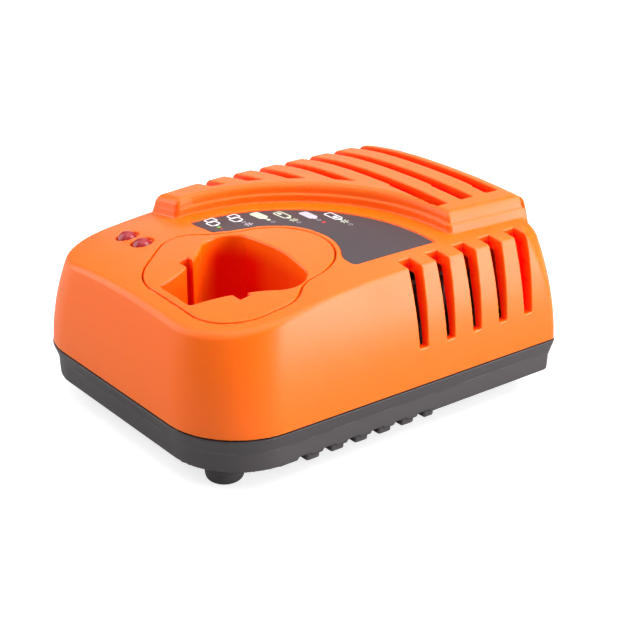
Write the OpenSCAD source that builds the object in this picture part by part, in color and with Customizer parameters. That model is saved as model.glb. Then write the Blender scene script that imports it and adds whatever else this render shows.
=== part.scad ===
// Desktop charger for stem-type power tool battery packs.
// X runs to the side with the wall slots, Y to the back, Z up from the surface it stands on.
// The origin is at the middle of the footprint, on the plane of the feet.

/* [Case] */
// Width of the case
body_w = 122.1; // [118:0.1:150]
// Depth of the case, front to back
body_d = 147; // [143:1:190]
// Radius of the front corners in plan at the parting line
corner_r = 26.7; // [24:0.1:29]
// Radius of the rear corners in plan at the parting line, before the plumb back cuts them
rear_corner_r = 19; // [16:0.1:24]
// Height of the parting line
parting_z = 19.9; // [19:0.1:23]
// Height of the roof at its crown
roof_z = 62.6; // [60:0.1:76]
// Thickness of the case walls
wall = 3; // [2:0.1:3.6]
// How far the housing's walls have bowed in at the crown's height
bow_in = 9.63; // [6:0.01:11]
// Step between the tray's edge and the housing's
edge_step = 0.25; // [0:0.05:0.5]
// Open seam between housing and tray
seam_gap = 0.4; // [0.2:0.1:0.6]
// Clearance between mating plastic parts
fit_gap = 0.2; // [0.15:0.05:0.3]

/* [Roof] */
// Radius of the roof's crown across the case
crown_r = 438; // [350:1:800]
// Radius of the roof's fall to the front
nose_r = 336; // [300:1:600]
// Height of the vented block above the roof
block_h = 6.7; // [5:0.1:8]
// Height of the block's upper band
block_band = 3.8; // [2:0.1:4.5]
// Width of the step between the block's bands
block_step = 0.5; // [0.3:0.1:0.8]
// Radius of the block's concave front
block_arc_r = 74.2; // [70:0.1:80]
// Number of grooves across the block
groove_count = 7; // [3:1:7]
// Distance from groove to groove, and from wall slot to wall slot
slot_pitch = 12; // [9:0.1:13]
// Width of a groove
groove_w = 4.9; // [3:0.1:5.5]
// Depth of a groove
groove_depth = 3.6; // [2:0.1:3.8]
// Number of slots in the right wall
wall_slot_count = 5; // [2:1:5]
// Width of a wall slot at its foot
wall_slot_foot = 3.5; // [2:0.1:4.2]
// Width of a wall slot at the roof
wall_slot_top = 5.8; // [4:0.1:6.5]

/* [Tray] */
// Height of the tray's underside
base_z = 5.5; // [4:0.1:7]
// How far the tray's walls lean in
base_draft = 4.6; // [3:0.1:6]
// Radius of the tray's lower edge
base_edge_r = 2; // [1:0.1:3]
// Number of air notches in the right lower edge
notch_count = 6; // [3:1:6]
// Distance from notch to notch
notch_pitch = 10; // [8:0.1:10]
// Width of a notch
notch_w = 4.4; // [3:0.1:6]
// Radius of a foot
foot_r = 6.5; // [5:0.1:7.5]

/* [Battery socket] */
// Depth of the pocket below the roof
pocket_depth = 43; // [34:0.5:44]
// Wall of the pocket
pocket_wall = 2.2; // [1.6:0.1:2.6]
// Half width of the pocket at its wide end
pocket_half = 23; // [21:0.1:24]
// Radius of the pocket's two rear corners
pocket_corner_r = 7.5; // [6:0.1:9]
// Width of a key groove
key_w = 4; // [3:0.1:5]

/* [Mains inlet] */
// Radius of the hole for the mains lead
gland_bore_r = 3.5; // [3:0.1:4]

/* [Hidden] */

$fn = 48;
orange = [0.96, 0.38, 0.12];
charcoal = [0.27, 0.26, 0.27];
side_x = body_w / 2;
back_y = body_d / 2;
front_y = -back_y;
through = 100;

// The walls are plumb at this height and bow inwards above it.
widest_z = parting_z - 4;
housing_z = parting_z + seam_gap;
bow_r = (pow(roof_z - widest_z, 2) + bow_in * bow_in) / (2 * bow_in);
crown_start_y = front_y + 83.4;
roof_parts_x = 8;
roof_parts_y = 6;
wall_parts = 8;
arc_step = 7.5;
block_top = roof_z + block_h;

// Battery socket: its own zero is the pocket's key line.
socket_x = side_x - 44;
socket_y = front_y + 29.5;
pocket_floor_z = roof_z - 3.6 - pocket_depth;

// Centre of the arcs that the block's front, the label and the grooves' ends share.
arc_x = side_x - 22;
arc_y = front_y + 38;
label_r = block_arc_r - 8.5;
label_depth = 0.5;
label_t = 0.3;
block_left = -side_x + 11.5;
block_right = side_x - 22.5;
block_rear = back_y - 1;
block_front = front_y + 49;
block_hollow = block_h - groove_depth - wall + 0.2;
block_corners = [[block_right, block_front, 1], [block_right, block_rear, 2.5], [block_left, block_rear, 8],
    [block_left, block_front, 2]];
groove_end_x = side_x - 30.8;
groove_end_r = block_arc_r + 7.4;
groove_y = back_y - 9.1;
vent_count = 3;
vent_x = 22.6;
vent_lean = 8.6;
vent_widening = 0.9;
vent_front_wall = 2.4;

wall_slot_y = back_y - 64.9;
wall_slot_z = parting_z + 13.2;
wall_slot_depth = 14.8;

tray_floor = base_z + 2.5;
lap_h = 2.5;
lap_t = 1.2;
notch_y = front_y + 32.9;
notch_h = 3.2;
comb_drop = 0.7;
foot_x = side_x - 19;
foot_y = back_y - 15.5;
foot_plug_r = 2.4;
post_r = 3.8;

// Posts for the case screws: place in plan, and how far the ceiling there lies above the roof's underside.
post_front = [side_x - 15, front_y + 53, 0];
post_rear = [side_x - 45, back_y - 7.5, block_hollow + wall];
posts = [for (side = [-1, 1], p = [post_front, post_rear]) [side * p[0], p[1], p[2]]];
post_z = 16;
case_screw_r = 1.5;
case_screw_well = [3.3, 5.5];

led_spots = [[-side_x + 25.4, front_y + 29], [-side_x + 35.9, front_y + 28.6]];
led_well_r = 4.25;
led_well_depth = 1.1;
led_lens_r = 3.4;
led_lens_rise = 1.4;
led_drop = 13;
led_board_t = 1.6;
led_board_screw_r = 1;
led_boss_r = 2.2;
led_fixings = [led_spots[0] + [-4.4, 6.5], led_spots[1] + [2.4, 7.5]];
led_lead_z = 24;

socket_fixings = [[-25, 35.5], [25.5, 32], [-32, -11]];
socket_fixing_z = 48;
socket_ear_t = 2.4;
socket_boss_r = 2.8;
socket_screw_r = 1.1;
lip_w = 1.6;
lip_t = 1.8;

board_x = side_x - 11;
board_y = [front_y + 66, back_y - 20];
board_z = 14;
board_t = 1.6;
board_top = board_z + board_t;
board_fixings = [for (x = [-1, 1], y = board_y) [x * (board_x - 4), y - 4 * sign(y - crown_start_y)]];
board_boss_r = 3;
board_screw_r = 1.2;

gland_x = -side_x + 25;
gland_z = 13.4;
gland_pad_y = back_y - 1.7;
gland_pad_t = 4;
gland_pad_r = 7;
gland_neck_r = 4.6;
gland_flange_r = 5.9;
gland_flange_t = 1.6;

contact_pitch = 8;

// Points of a circle's arc from angle a to angle b.
function arc(r, a, b, parts) =
    [for (i = [0:parts]) let (turn = a + (b - a) * i / parts) r * [cos(turn), sin(turn)]];

// How far the housing's wall has bowed in at height z.
function bow(z) = bow_r - sqrt(bow_r * bow_r - (z - widest_z) * (z - widest_z));

// How far the tray's wall leans in at height z.
function lean(z) = base_draft * (parting_z - z) / (parting_z - base_z - base_edge_r);

// Heights and insets of the housing's wall, set in by extra.
function housing_profile(extra, low, high) =
    [for (i = [0:wall_parts]) let (z = low + (high - low) * i / wall_parts) [bow(z) + extra, z]];

// Height of the roof's surface at a place in plan.
function roof_at(x, y) =
    roof_z - x * x / (2 * crown_r) - pow(min(y - crown_start_y, 0), 2) / (2 * nose_r);

// Height of the lamps' board, below the lower of the two lamps.
led_board_z = min([for (p = led_spots) roof_at(p[0], p[1])]) - led_drop;

// Solid with the case's plan: two round front corners, and rear corners cut off by a plumb back, which is set
// in by back_inset. The profile holds [inset, height] pairs for the other walls, from the bottom up.
module moulded(profile, back_inset) {
    front_core = [side_x - corner_r, front_y + corner_r];
    rear_core = [side_x - rear_corner_r, back_y - rear_corner_r + bow_in];
    low = profile[0][1];
    high = profile[len(profile) - 1][1];
    right = [for (p = profile) [side_x - p[0], p[1]]];
    left = [for (i = [len(profile) - 1:-1:0]) [profile[i][0] - side_x, profile[i][1]]];
    front_section = concat([[0, low]], [for (p = profile) [corner_r - p[0], p[1]]], [[0, high]]);
    rear_section = concat([[0, low]], [for (p = profile) [rear_corner_r - p[0], p[1]]], [[0, high]]);
    translate([0, rear_core[1], 0])
        rotate([90, 0, 0])
            linear_extrude(rear_core[1] - front_core[1])
                polygon(concat(right, left));
    translate([0, front_core[1], 0])
        rotate([90, 0, -90])
            linear_extrude(2 * front_core[0], center = true)
                polygon(front_section);
    for (side = [0, 1])
        mirror([side, 0, 0]) {
            translate([front_core[0], front_core[1], 0])
                rotate(-90)
                    rotate_extrude(angle = 90, $fn = 96)
                        polygon(front_section);
            intersection() {
                translate([rear_core[0], rear_core[1], 0])
                    rotate_extrude(angle = 90, $fn = 96)
                        polygon(rear_section);
                translate([0, 0, low])
                    cube([side_x, back_y - back_inset, high - low]);
            }
        }
    translate([-rear_core[0], rear_core[1], low])
        cube([2 * rear_core[0], back_y - back_inset - rear_core[1], high - low]);
}

// Everything below the roof's crowned surface, raised by lift: flat tiles that follow both curves.
module under_roof(lift) {
    half = side_x + 1;
    columns = [for (i = [0:roof_parts_x]) half * (2 * i / roof_parts_x - 1)];
    fall = crown_start_y - front_y + 1;
    rows = concat([for (j = [0:roof_parts_y]) front_y - 1 + fall * j / roof_parts_y], [back_y + 1]);
    nx = len(columns);
    ny = len(rows);
    top = [for (y = rows, x = columns) [x, y, roof_at(x, y) + lift]];
    foot = [for (p = [0, nx - 1, nx * ny - 1, nx * (ny - 1)]) [top[p][0], top[p][1], 0]];
    f = nx * ny;
    tiles = [for (j = [0:ny - 2], i = [0:nx - 2]) let (k = j * nx + i) [k, k + nx, k + nx + 1, k + 1]];
    polyhedron(concat(top, foot), concat(tiles, [
        [f, f + 1, f + 2, f + 3],
        [for (i = [0:nx - 1]) i, f + 1, f],
        [for (i = [nx - 1:-1:0]) f - nx + i, f + 3, f + 2],
        [for (j = [ny - 1:-1:0]) j * nx, f, f + 3],
        [for (j = [0:ny - 1]) j * nx + nx - 1, f + 2, f + 1]
    ]));
}

// A plan extruded from height low up to the roof's surface raised by lift.
module up_to_roof(low, lift) {
    intersection() {
        translate([0, 0, low])
            linear_extrude(through)
                children();
        under_roof(lift);
    }
}

// A plan as a layer that follows the roof, between its surface raised by top and by bottom.
module roof_layer(top, bottom) {
    difference() {
        up_to_roof(roof_z - 20, top)
            children();
        under_roof(bottom);
    }
}

// Plan of the vented block, grown by grow.
module block_plan(grow) {
    difference() {
        polygon(outline(
            [for (c = block_corners) let (r = max(c[2] + grow, 0.5), in = r - grow)
                [[c[0] - in * sign(c[0]), c[1] - in * sign(c[1])], r]],
            [0, 0, 0, 0]
        ));
        translate([arc_x, arc_y])
            circle(block_arc_r - grow, $fn = 180);
    }
}

// Angle brought into one turn.
function one_turn(angle) = angle - 360 * floor(angle / 360);

// Direction of a vector in plan.
function heading(v) = atan2(v[1], v[0]);

// Centre of the hollow blend of radius r between circles a and b, on the right of the way from a to b.
function blend_centre(a, b, r) =
    let (v = b[0] - a[0], d = norm(v))
    let (along = (pow(a[1] + r, 2) - pow(b[1] + r, 2) + d * d) / (2 * d))
    a[0] + (along * v + sqrt(pow(a[1] + r, 2) - along * along) * [v[1], -v[0]]) / d;

// Where the outline leaves circle a for circle b: along their common tangent, or into a blend of radius r.
function leave(a, b, r) =
    r > 0 ? heading(blend_centre(a, b, r) - a[0])
        : heading(b[0] - a[0]) - acos((a[1] - b[1]) / norm(b[0] - a[0]));

// Where the outline reaches circle b from circle a.
function reach(a, b, r) = r > 0 ? heading(blend_centre(a, b, r) - b[0]) : leave(a, b, 0);

// Points of an arc about a centre.
function arc_about(centre, r, from, sweep) =
    let (parts = max(1, ceil(abs(sweep) / arc_step)))
    [for (i = [0:parts]) centre + r * [cos(from + sweep * i / parts), sin(from + sweep * i / parts)]];

// Outline round circles, walked anticlockwise. A circle is [centre, radius], and blends holds the radius of
// the hollow between each circle and the next, or 0 for a straight run.
function outline(circles, blends) =
    let (n = len(circles))
    [for (i = [0:n - 1])
        let (a = circles[(i + n - 1) % n], b = circles[i], c = circles[(i + 1) % n], r = blends[i])
        let (from = reach(a, b, blends[(i + n - 1) % n]), to = leave(b, c, r))
        let (hollow = r > 0 ? blend_centre(b, c, r) : [0, 0])
        let (turn_in = heading(b[0] - hollow), turn_out = heading(c[0] - hollow))
        each concat(
            arc_about(b[0], b[1], from, one_turn(to - from)),
            r > 0 ? arc_about(hollow, r, turn_in, -one_turn(turn_in - turn_out)) : []
        )
    ];

// Plan of the socket's top plate, grown by grow: five lobes with two hollows behind them.
module plate_plan(grow) {
    front_left = [[-9, 2.5], 19.9 + grow];
    front_right = [[13.5, -0.5], 16.9 + grow];
    right = [[18.5, 6], 12 + grow];
    rear = [[0.3, 21.5], 22 + grow];
    left = [[-26, 6.5], 9 + grow];
    translate([socket_x, socket_y])
        polygon(outline([front_left, front_right, right, rear, left], [0, 0, 16 - grow, 30 - grow, 0]));
}

// Plan of the pocket, grown by grow: a wide rear lobe that narrows to a nose at the front.
module pocket_plan(grow) {
    lobe = [pocket_half - pocket_corner_r, 17.5];
    nose = [7.7, -13.4];
    nose_r = 1.5 + grow;
    lobe_r = pocket_corner_r + grow;
    flare = 70 - grow;
    translate([socket_x, socket_y])
        polygon(outline(
            [[nose, nose_r], [lobe, lobe_r], [[-lobe[0], lobe[1]], lobe_r], [[-nose[0], nose[1]], nose_r]],
            [flare, 0, flare, 0]
        ));
}

// Plan of the two key grooves beside the pocket's nose, grown by grow.
module key_plan(grow) {
    reach = 18 + grow;
    translate([socket_x - reach, socket_y - 2 - grow])
        square([2 * reach, key_w + 2 * grow]);
}

// Plan of the label's recess, set in by inset.
module label_plan(inset) {
    margin = 2.2 + inset;
    difference() {
        intersection() {
            translate([arc_x, arc_y])
                circle(label_r - inset, $fn = 120);
            translate([-side_x, front_y + 48.3 + inset])
                square([2 * side_x - 19.7 - inset, through]);
        }
        plate_plan(margin);
        translate([socket_x + 20, front_y + 38])
            square([40, 30.5 + inset]);
    }
}

// Screw with a pan head, standing on its head's underside at the origin and pointing up.
module screw(shank_r, length, head_r, head_h) {
    translate([0, 0, -head_h])
        cylinder(r = head_r, h = head_h);
    cylinder(r = shank_r, h = length);
}

// Round lead along a path, with a ball at each bend.
module lead(path, r) {
    for (i = [1:len(path) - 1]) {
        step = path[i] - path[i - 1];
        flat = norm([step[0], step[1]]);
        translate(path[i - 1])
            rotate([0, atan2(flat, step[2]), atan2(step[1], step[0])])
                cylinder(r = r, h = norm(step), $fn = 24);
    }
    for (i = [1:len(path) - 2])
        translate(path[i])
            sphere(r, $fn = 24);
}

// Grooves across the block, all blind.
module blind_grooves() {
    difference() {
        for (i = [0:groove_count - 1])
            translate([-side_x, groove_y - i * slot_pitch, roof_z - block_h])
                cube([side_x + groove_end_x, groove_w, 3 * block_h]);
        translate([arc_x, arc_y, 0])
            cylinder(r = groove_end_r, h = through, $fn = 180);
        under_roof(block_h - groove_depth);
    }
}

// Vents at the right ends of the rear grooves, which go right through.
module vents() {
    difference() {
        for (i = [0:vent_count - 1]) {
            left = vent_x - i * vent_lean;
            translate([left, groove_y - i * slot_pitch - vent_widening, roof_z - 3 * block_h])
                cube([groove_end_x - left, groove_w + vent_widening, 6 * block_h]);
        }
        translate([arc_x, arc_y, 0])
            cylinder(r = block_arc_r + vent_front_wall, h = through, $fn = 180);
    }
}

// Slots in the right wall, which widen upwards and wrap over the roof's edge.
module wall_slots() {
    taper = (wall_slot_top - wall_slot_foot) / (roof_z - wall_slot_z);
    high = through - wall_slot_z;
    for (i = [0:wall_slot_count - 1])
        translate([side_x - wall_slot_depth, wall_slot_y + i * slot_pitch, wall_slot_z])
            rotate([90, 0, 90])
                linear_extrude(through)
                    polygon([[0, 0], [wall_slot_foot, 0], [wall_slot_foot + taper * high, high], [0, high]]);
}

// Hollow of the housing, with the rebate for the tray's lap round its mouth.
module housing_hollow() {
    rebate = edge_step + lap_t;
    intersection() {
        moulded(housing_profile(edge_step + wall, parting_z - 1, block_top), edge_step + wall);
        under_roof(-wall);
    }
    moulded([[rebate, parting_z - 1], [rebate, parting_z + lap_h + fit_gap]], rebate);
    up_to_roof(roof_z - 20, block_hollow)
        block_plan(-wall);
}

// Posts for the case screws, and bosses for the socket and the lamps' board.
module housing_bosses() {
    intersection() {
        for (p = posts)
            translate([p[0], p[1], post_z])
                cylinder(r = post_r, h = roof_at(p[0], p[1]) + p[2] - wall / 2 - post_z);
        moulded(housing_profile(edge_step + wall / 2, parting_z - 5, block_top), edge_step + wall / 2);
    }
    for (p = socket_fixings) {
        x = socket_x + p[0];
        y = socket_y + p[1];
        translate([x, y, socket_fixing_z])
            cylinder(r = socket_boss_r, h = roof_at(x, y) - wall / 2 - socket_fixing_z);
    }
    for (p = led_fixings)
        translate([p[0], p[1], led_board_z + led_board_t])
            cylinder(r = led_boss_r, h = roof_at(p[0], p[1]) - wall / 2 - led_board_z - led_board_t);
}

module top_housing() {
    color(orange)
        difference() {
            union() {
                difference() {
                    union() {
                        intersection() {
                            moulded(housing_profile(edge_step, housing_z, block_top), edge_step);
                            under_roof(0);
                        }
                        for (band = [[0, 0], [block_step, block_band]])
                            up_to_roof(roof_z - 10, block_h - band[1])
                                block_plan(band[0]);
                    }
                    housing_hollow();
                    blind_grooves();
                    vents();
                    wall_slots();
                }
                housing_bosses();
            }
            linear_extrude(through)
                plate_plan(fit_gap);
            difference() {
                linear_extrude(through)
                    label_plan(0);
                under_roof(-label_depth);
            }
            for (p = led_spots) {
                translate([p[0], p[1], roof_z - 20])
                    cylinder(r = led_lens_r + fit_gap, h = 40);
                translate([p[0], p[1], roof_at(p[0], p[1]) - led_well_depth])
                    cylinder(r = led_well_r, h = 10);
            }
            for (p = posts)
                translate([p[0], p[1], post_z - 1])
                    cylinder(r = case_screw_r + 0.1, h = 14);
            for (p = socket_fixings)
                translate([socket_x + p[0], socket_y + p[1], socket_fixing_z - 1])
                    cylinder(r = socket_screw_r + 0.1, h = 6);
            for (p = led_fixings)
                translate([p[0], p[1], led_board_z])
                    cylinder(r = led_board_screw_r + 0.1, h = 7);
        }
}

// Row of teeth between the air notches, which hang a little below the tray.
module comb() {
    reach = 5;
    before = 5.6;
    after = 1.2;
    translate([side_x - base_draft - base_edge_r - reach, notch_y - before, base_z - comb_drop])
        cube([reach, before + notch_pitch * (notch_count - 1) + notch_w + after, comb_drop + 1]);
}

module base_tray() {
    foot_lean = lean(base_z + base_edge_r);
    edge = [for (p = arc(base_edge_r, 270, 360, 3))
        [foot_lean + base_edge_r - p[0], base_z + base_edge_r + p[1]]];
    lap_inset = edge_step + lap_t + fit_gap;
    inner = [[lean(tray_floor) + wall, tray_floor], [wall, parting_z],
        [lap_inset + lap_t, parting_z + 0.01], [lap_inset + lap_t, parting_z + 10]];
    color(charcoal)
        difference() {
            union() {
                difference() {
                    union() {
                        moulded(concat(edge, [[0, parting_z]]), 0);
                        moulded([[lap_inset, parting_z - 2], [lap_inset, parting_z + lap_h]], lap_inset);
                    }
                    moulded(inner, lap_inset + lap_t);
                }
                comb();
                for (p = posts)
                    translate([p[0], p[1], base_z + 1])
                        cylinder(r = post_r, h = post_z - base_z - 1);
                for (p = board_fixings)
                    translate([p[0], p[1], base_z + 1])
                        cylinder(r = board_boss_r, h = board_z - base_z - 1);
                translate([gland_x, gland_pad_y, gland_z])
                    rotate([90, 0, 0])
                        cylinder(r = gland_pad_r, h = gland_pad_t);
            }
            for (i = [0:notch_count - 1])
                translate([side_x - 10, notch_y + i * notch_pitch, base_z - 2])
                    cube([20, notch_w, notch_h + 2]);
            for (p = posts)
                translate([p[0], p[1], base_z - 1]) {
                    cylinder(r = case_screw_r + fit_gap, h = 20);
                    cylinder(r = case_screw_well[0], h = case_screw_well[1] + 1);
                }
            for (p = board_fixings)
                translate([p[0], p[1], tray_floor])
                    cylinder(r = board_screw_r + 0.1, h = 10);
            for (x = [-1, 1], y = [-1, 1])
                translate([x * foot_x, y * foot_y, base_z - 1])
                    cylinder(r = foot_plug_r + 0.1, h = 10);
            translate([gland_x, back_y + 1, gland_z])
                rotate([90, 0, 0]) {
                    cylinder(r = gland_neck_r + 0.1, h = 20);
                    cylinder(r = gland_flange_r + 0.3, h = back_y + 1 - gland_pad_y);
                }
        }
}

module socket_insert() {
    color(orange)
        difference() {
            union() {
                roof_layer(0, -wall - lip_t)
                    plate_plan(0);
                roof_layer(-wall - fit_gap, -wall - lip_t)
                    plate_plan(lip_w);
                up_to_roof(pocket_floor_z - pocket_wall, -wall)
                    pocket_plan(pocket_wall);
                up_to_roof(roof_z - 28, -wall)
                    key_plan(pocket_wall);
                for (p = socket_fixings)
                    translate([socket_x, socket_y, socket_fixing_z - socket_ear_t])
                        linear_extrude(socket_ear_t)
                            polygon(outline([[p, 3], [p * 0.3, 3]], [0, 0]));
            }
            translate([0, 0, pocket_floor_z])
                linear_extrude(through)
                    pocket_plan(0);
            translate([0, 0, roof_z - 26])
                linear_extrude(through)
                    key_plan(0);
            for (p = socket_fixings)
                translate([socket_x + p[0], socket_y + p[1], socket_fixing_z - 5])
                    cylinder(r = socket_screw_r + fit_gap, h = 6);
            for (side = [-1, 0, 1])
                translate([socket_x + side * contact_pitch - 0.8, socket_y + 3, pocket_floor_z - 5])
                    cube([1.6, 10.4, 10]);
        }
}

module status_label() {
    color([0.33, 0.31, 0.33])
        roof_layer(label_t - label_depth, -label_depth)
            label_plan(fit_gap);
}

module rubber_feet() {
    edge = 2.5;
    color([0.2, 0.2, 0.2])
        for (x = [-1, 1], y = [-1, 1])
            translate([x * foot_x, y * foot_y, 0]) {
                rotate_extrude()
                    polygon(concat([[0, 0]], [for (p = arc(edge, -90, 0, 5)) p + [foot_r - edge, edge]],
                        [[foot_r, base_z], [0, base_z]]));
                cylinder(r = foot_plug_r, h = tray_floor + 1);
            }
}

module inlet_gland() {
    color([0.16, 0.16, 0.16])
        translate([gland_x, gland_pad_y + gland_flange_t, gland_z])
            rotate([90, 0, 0])
                difference() {
                    union() {
                        cylinder(r = gland_flange_r, h = gland_flange_t);
                        cylinder(r = gland_neck_r, h = gland_pad_t + 2 * gland_flange_t);
                        translate([0, 0, gland_flange_t + gland_pad_t])
                            cylinder(r = gland_neck_r + 0.6, h = gland_flange_t);
                    }
                    translate([0, 0, -1])
                        cylinder(r = gland_bore_r, h = 20);
                }
}

// Domed light pipe that stands in its well and is held by a collar under the roof.
module led_lens(p) {
    dome_z = roof_at(p[0], p[1]) + led_lens_rise - led_lens_r;
    foot_z = roof_at(p[0], p[1]) - wall - 2.6;
    color([0.45, 0.03, 0.05])
        translate([p[0], p[1], 0]) {
            translate([0, 0, dome_z])
                sphere(led_lens_r);
            translate([0, 0, foot_z])
                cylinder(r = led_lens_r, h = dome_z - foot_z);
            translate([0, 0, foot_z])
                cylinder(r = led_lens_r + 1, h = 1.6);
        }
}

// Round indicator lamp on its board, below its lens.
module led_lamp(p) {
    color([0.8, 0.1, 0.1])
        translate([p[0], p[1], led_board_z + led_board_t]) {
            cylinder(r = 2.8, h = 1);
            cylinder(r = 2.5, h = 2.6);
            translate([0, 0, 2.6])
                sphere(2.5);
        }
}

module power_led_lens() {
    led_lens(led_spots[0]);
}

module charge_led_lens() {
    led_lens(led_spots[1]);
}

module power_led() {
    led_lamp(led_spots[0]);
}

module charge_led() {
    led_lamp(led_spots[1]);
}

module led_board() {
    low = [led_fixings[0][0] - 3.2, led_spots[1][1] - 5];
    high = [led_fixings[1][0] + 3.2, led_fixings[1][1] + 3.2];
    color([0.1, 0.35, 0.15])
        difference() {
            translate([low[0], low[1], led_board_z])
                cube([high[0] - low[0], high[1] - low[1], led_board_t]);
            for (p = led_fixings)
                translate([p[0], p[1], led_board_z - 1])
                    cylinder(r = led_board_screw_r + fit_gap, h = 5);
        }
}

module led_board_screws() {
    color("silver")
        for (p = led_fixings)
            translate([p[0], p[1], led_board_z])
                screw(led_board_screw_r, 6, 2, 1.4);
}

module led_leads() {
    lead_y = board_y[0] + 3.5;
    drop_y = led_spots[0][1] - 1;
    color([0.75, 0.15, 0.1])
        for (p = led_spots)
            lead([[p[0] + 3.5, drop_y, led_board_z], [p[0] + 3.5, drop_y, led_lead_z],
                [p[0] + 3.5, lead_y, led_lead_z], [p[0] + 3.5, lead_y, board_top]], 0.8);
}

module contact_block() {
    high = pocket_floor_z - pocket_wall;
    color([0.12, 0.12, 0.12])
        difference() {
            translate([socket_x - 13, socket_y + 1, tray_floor + 0.3])
                cube([26, 15, high - tray_floor - 0.3]);
            for (side = [-1, 0, 1])
                translate([socket_x + side * contact_pitch - 0.5, socket_y + 3.5, tray_floor + 2])
                    cube([1, 9.4, 20]);
        }
}

module contact_blades() {
    foot_z = tray_floor + 2;
    high = pocket_floor_z + 7 - foot_z;
    width = 9;
    lead_in = 1.5;
    color([0.85, 0.7, 0.35])
        for (side = [-1, 0, 1])
            translate([socket_x + side * contact_pitch - 0.4, socket_y + 3.7, foot_z])
                rotate([90, 0, 90])
                    linear_extrude(0.8)
                        polygon([[0, 0], [width, 0], [width, high - lead_in], [width - lead_in, high],
                            [lead_in, high], [0, high - lead_in]]);
}

module contact_leads() {
    lead_z = (tray_floor + pocket_floor_z - pocket_wall) / 2 + 0.3;
    rise_y = socket_y + 30;
    end_y = board_y[0] + 3.5;
    color([0.7, 0.1, 0.1])
        for (x = [socket_x - 5, socket_x + 5])
            lead([[x, socket_y + 16, lead_z], [x, rise_y, lead_z], [x, rise_y, board_top + 4],
                [x, end_y, board_top + 4], [x, end_y, board_top]], 1);
}

module socket_screws() {
    color("silver")
        for (p = socket_fixings)
            translate([socket_x + p[0], socket_y + p[1], socket_fixing_z - socket_ear_t])
                screw(socket_screw_r, 6.5, 2.2, 1.6);
}

module circuit_board() {
    color([0.1, 0.35, 0.15])
        difference() {
            translate([-board_x, board_y[0], board_z])
                cube([2 * board_x, board_y[1] - board_y[0], board_t]);
            for (p = board_fixings)
                translate([p[0], p[1], board_z - 1])
                    cylinder(r = board_screw_r + fit_gap, h = 5);
        }
}

module board_screws() {
    color("silver")
        for (p = board_fixings)
            translate([p[0], p[1], board_top])
                mirror([0, 0, 1])
                    screw(board_screw_r, 6, 2.6, 1.8);
}

// Transformer: a ferrite core of two E halves round a wound bobbin that stands upright.
transformer_at = [6, 24, board_top];
core_size = [36, 12, 30];
core_leg = 5;
core_bar = 5;
window_x = [5.2, 13.2];

module transformer_core() {
    color([0.2, 0.2, 0.22])
        translate(transformer_at)
            difference() {
                translate([-core_size[0] / 2, -core_size[1] / 2, 0])
                    cube(core_size);
                for (side = [0, 1])
                    mirror([side, 0, 0])
                        translate([window_x[0], -core_size[1], core_bar])
                            cube([window_x[1] - window_x[0], 2 * core_size[1], core_size[2] - 2 * core_bar]);
            }
}

module bobbin_tube(extra, low, high) {
    half = [window_x[0] + 0.2 + extra, core_size[1] / 2 + 0.2 + extra];
    translate([-half[0], -half[1], low])
        cube([2 * half[0], 2 * half[1], high - low]);
}

module transformer_bobbin() {
    low = core_bar + 0.2;
    high = core_size[2] - core_bar - 0.2;
    flange = [2 * window_x[1] - 0.6, 2 * window_x[1], 1];
    color([0.75, 0.72, 0.6])
        translate(transformer_at)
            difference() {
                union() {
                    bobbin_tube(1, low, high);
                    for (z = [low, high - flange[2]])
                        translate([-flange[0] / 2, -flange[1] / 2, z])
                            cube(flange);
                }
                bobbin_tube(0, low - 1, high + 1);
            }
}

module transformer_winding() {
    low = core_bar + 1.3;
    high = core_size[2] - core_bar - 1.3;
    color([0.75, 0.4, 0.15])
        translate(transformer_at)
            difference() {
                intersection() {
                    translate([-window_x[1] + 1, -window_x[1] + 1, low])
                        cube([2 * window_x[1] - 2, 2 * window_x[1] - 2, high - low]);
                    cylinder(r = window_x[1] + 2, h = high);
                }
                bobbin_tube(1.1, low - 1, high + 1);
            }
}

// Standing electrolytic capacitor with a crimped neck.
module can(p, r, h) {
    translate([p[0], p[1], board_top]) {
        cylinder(r = r, h = 1.8);
        cylinder(r = r - 0.5, h = 3);
        translate([0, 0, 2.6])
            cylinder(r = r, h = h - 2.6);
    }
}

module mains_capacitor() {
    color([0.15, 0.2, 0.3])
        can([-15.2, board_y[1] - 12], 9, 30);
}

module output_capacitors() {
    color([0.1, 0.1, 0.12])
        for (i = [0:1])
            can([14 + 12 * i, board_y[0] + 12], 5, 20);
}

// Heat sink: an upright plate with a foot and fins towards the wall slots.
sink_x = board_x - 15;
sink_y = [2, 48];
sink_h = 30;
sink_t = 2;

module heat_sink() {
    fin_pitch = 5;
    color([0.7, 0.71, 0.73])
        translate([sink_x, sink_y[0], board_top]) {
            cube([sink_t, sink_y[1] - sink_y[0], sink_h]);
            for (y = [0:fin_pitch:sink_y[1] - sink_y[0] - 1])
                translate([0, y, 3])
                    cube([9, 1.2, sink_h - 3]);
        }
}

// Flat power package with its tab against the heat sink and three legs to the board.
module power_package(y) {
    body = [4.4, 10, 9.2];
    lift = 6;
    color([0.1, 0.1, 0.1])
        translate([sink_x - body[0] - 0.05, y, board_top]) {
            translate([0, 0, lift])
                cube(body);
            translate([body[0] - 1.3, 0, lift + body[2]])
                difference() {
                    cube([1.3, body[1], 6]);
                    translate([-1, body[1] / 2, 3.2])
                        rotate([0, 90, 0])
                            cylinder(r = 1.8, h = 5);
                }
            for (i = [-1, 0, 1])
                translate([1.5, body[1] / 2 + 2.54 * i - 0.4, 0])
                    cube([0.6, 0.8, lift]);
        }
}

module power_transistor() {
    power_package(sink_y[0] + 6);
}

module rectifier_diode() {
    power_package(sink_y[0] + 28);
}

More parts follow.
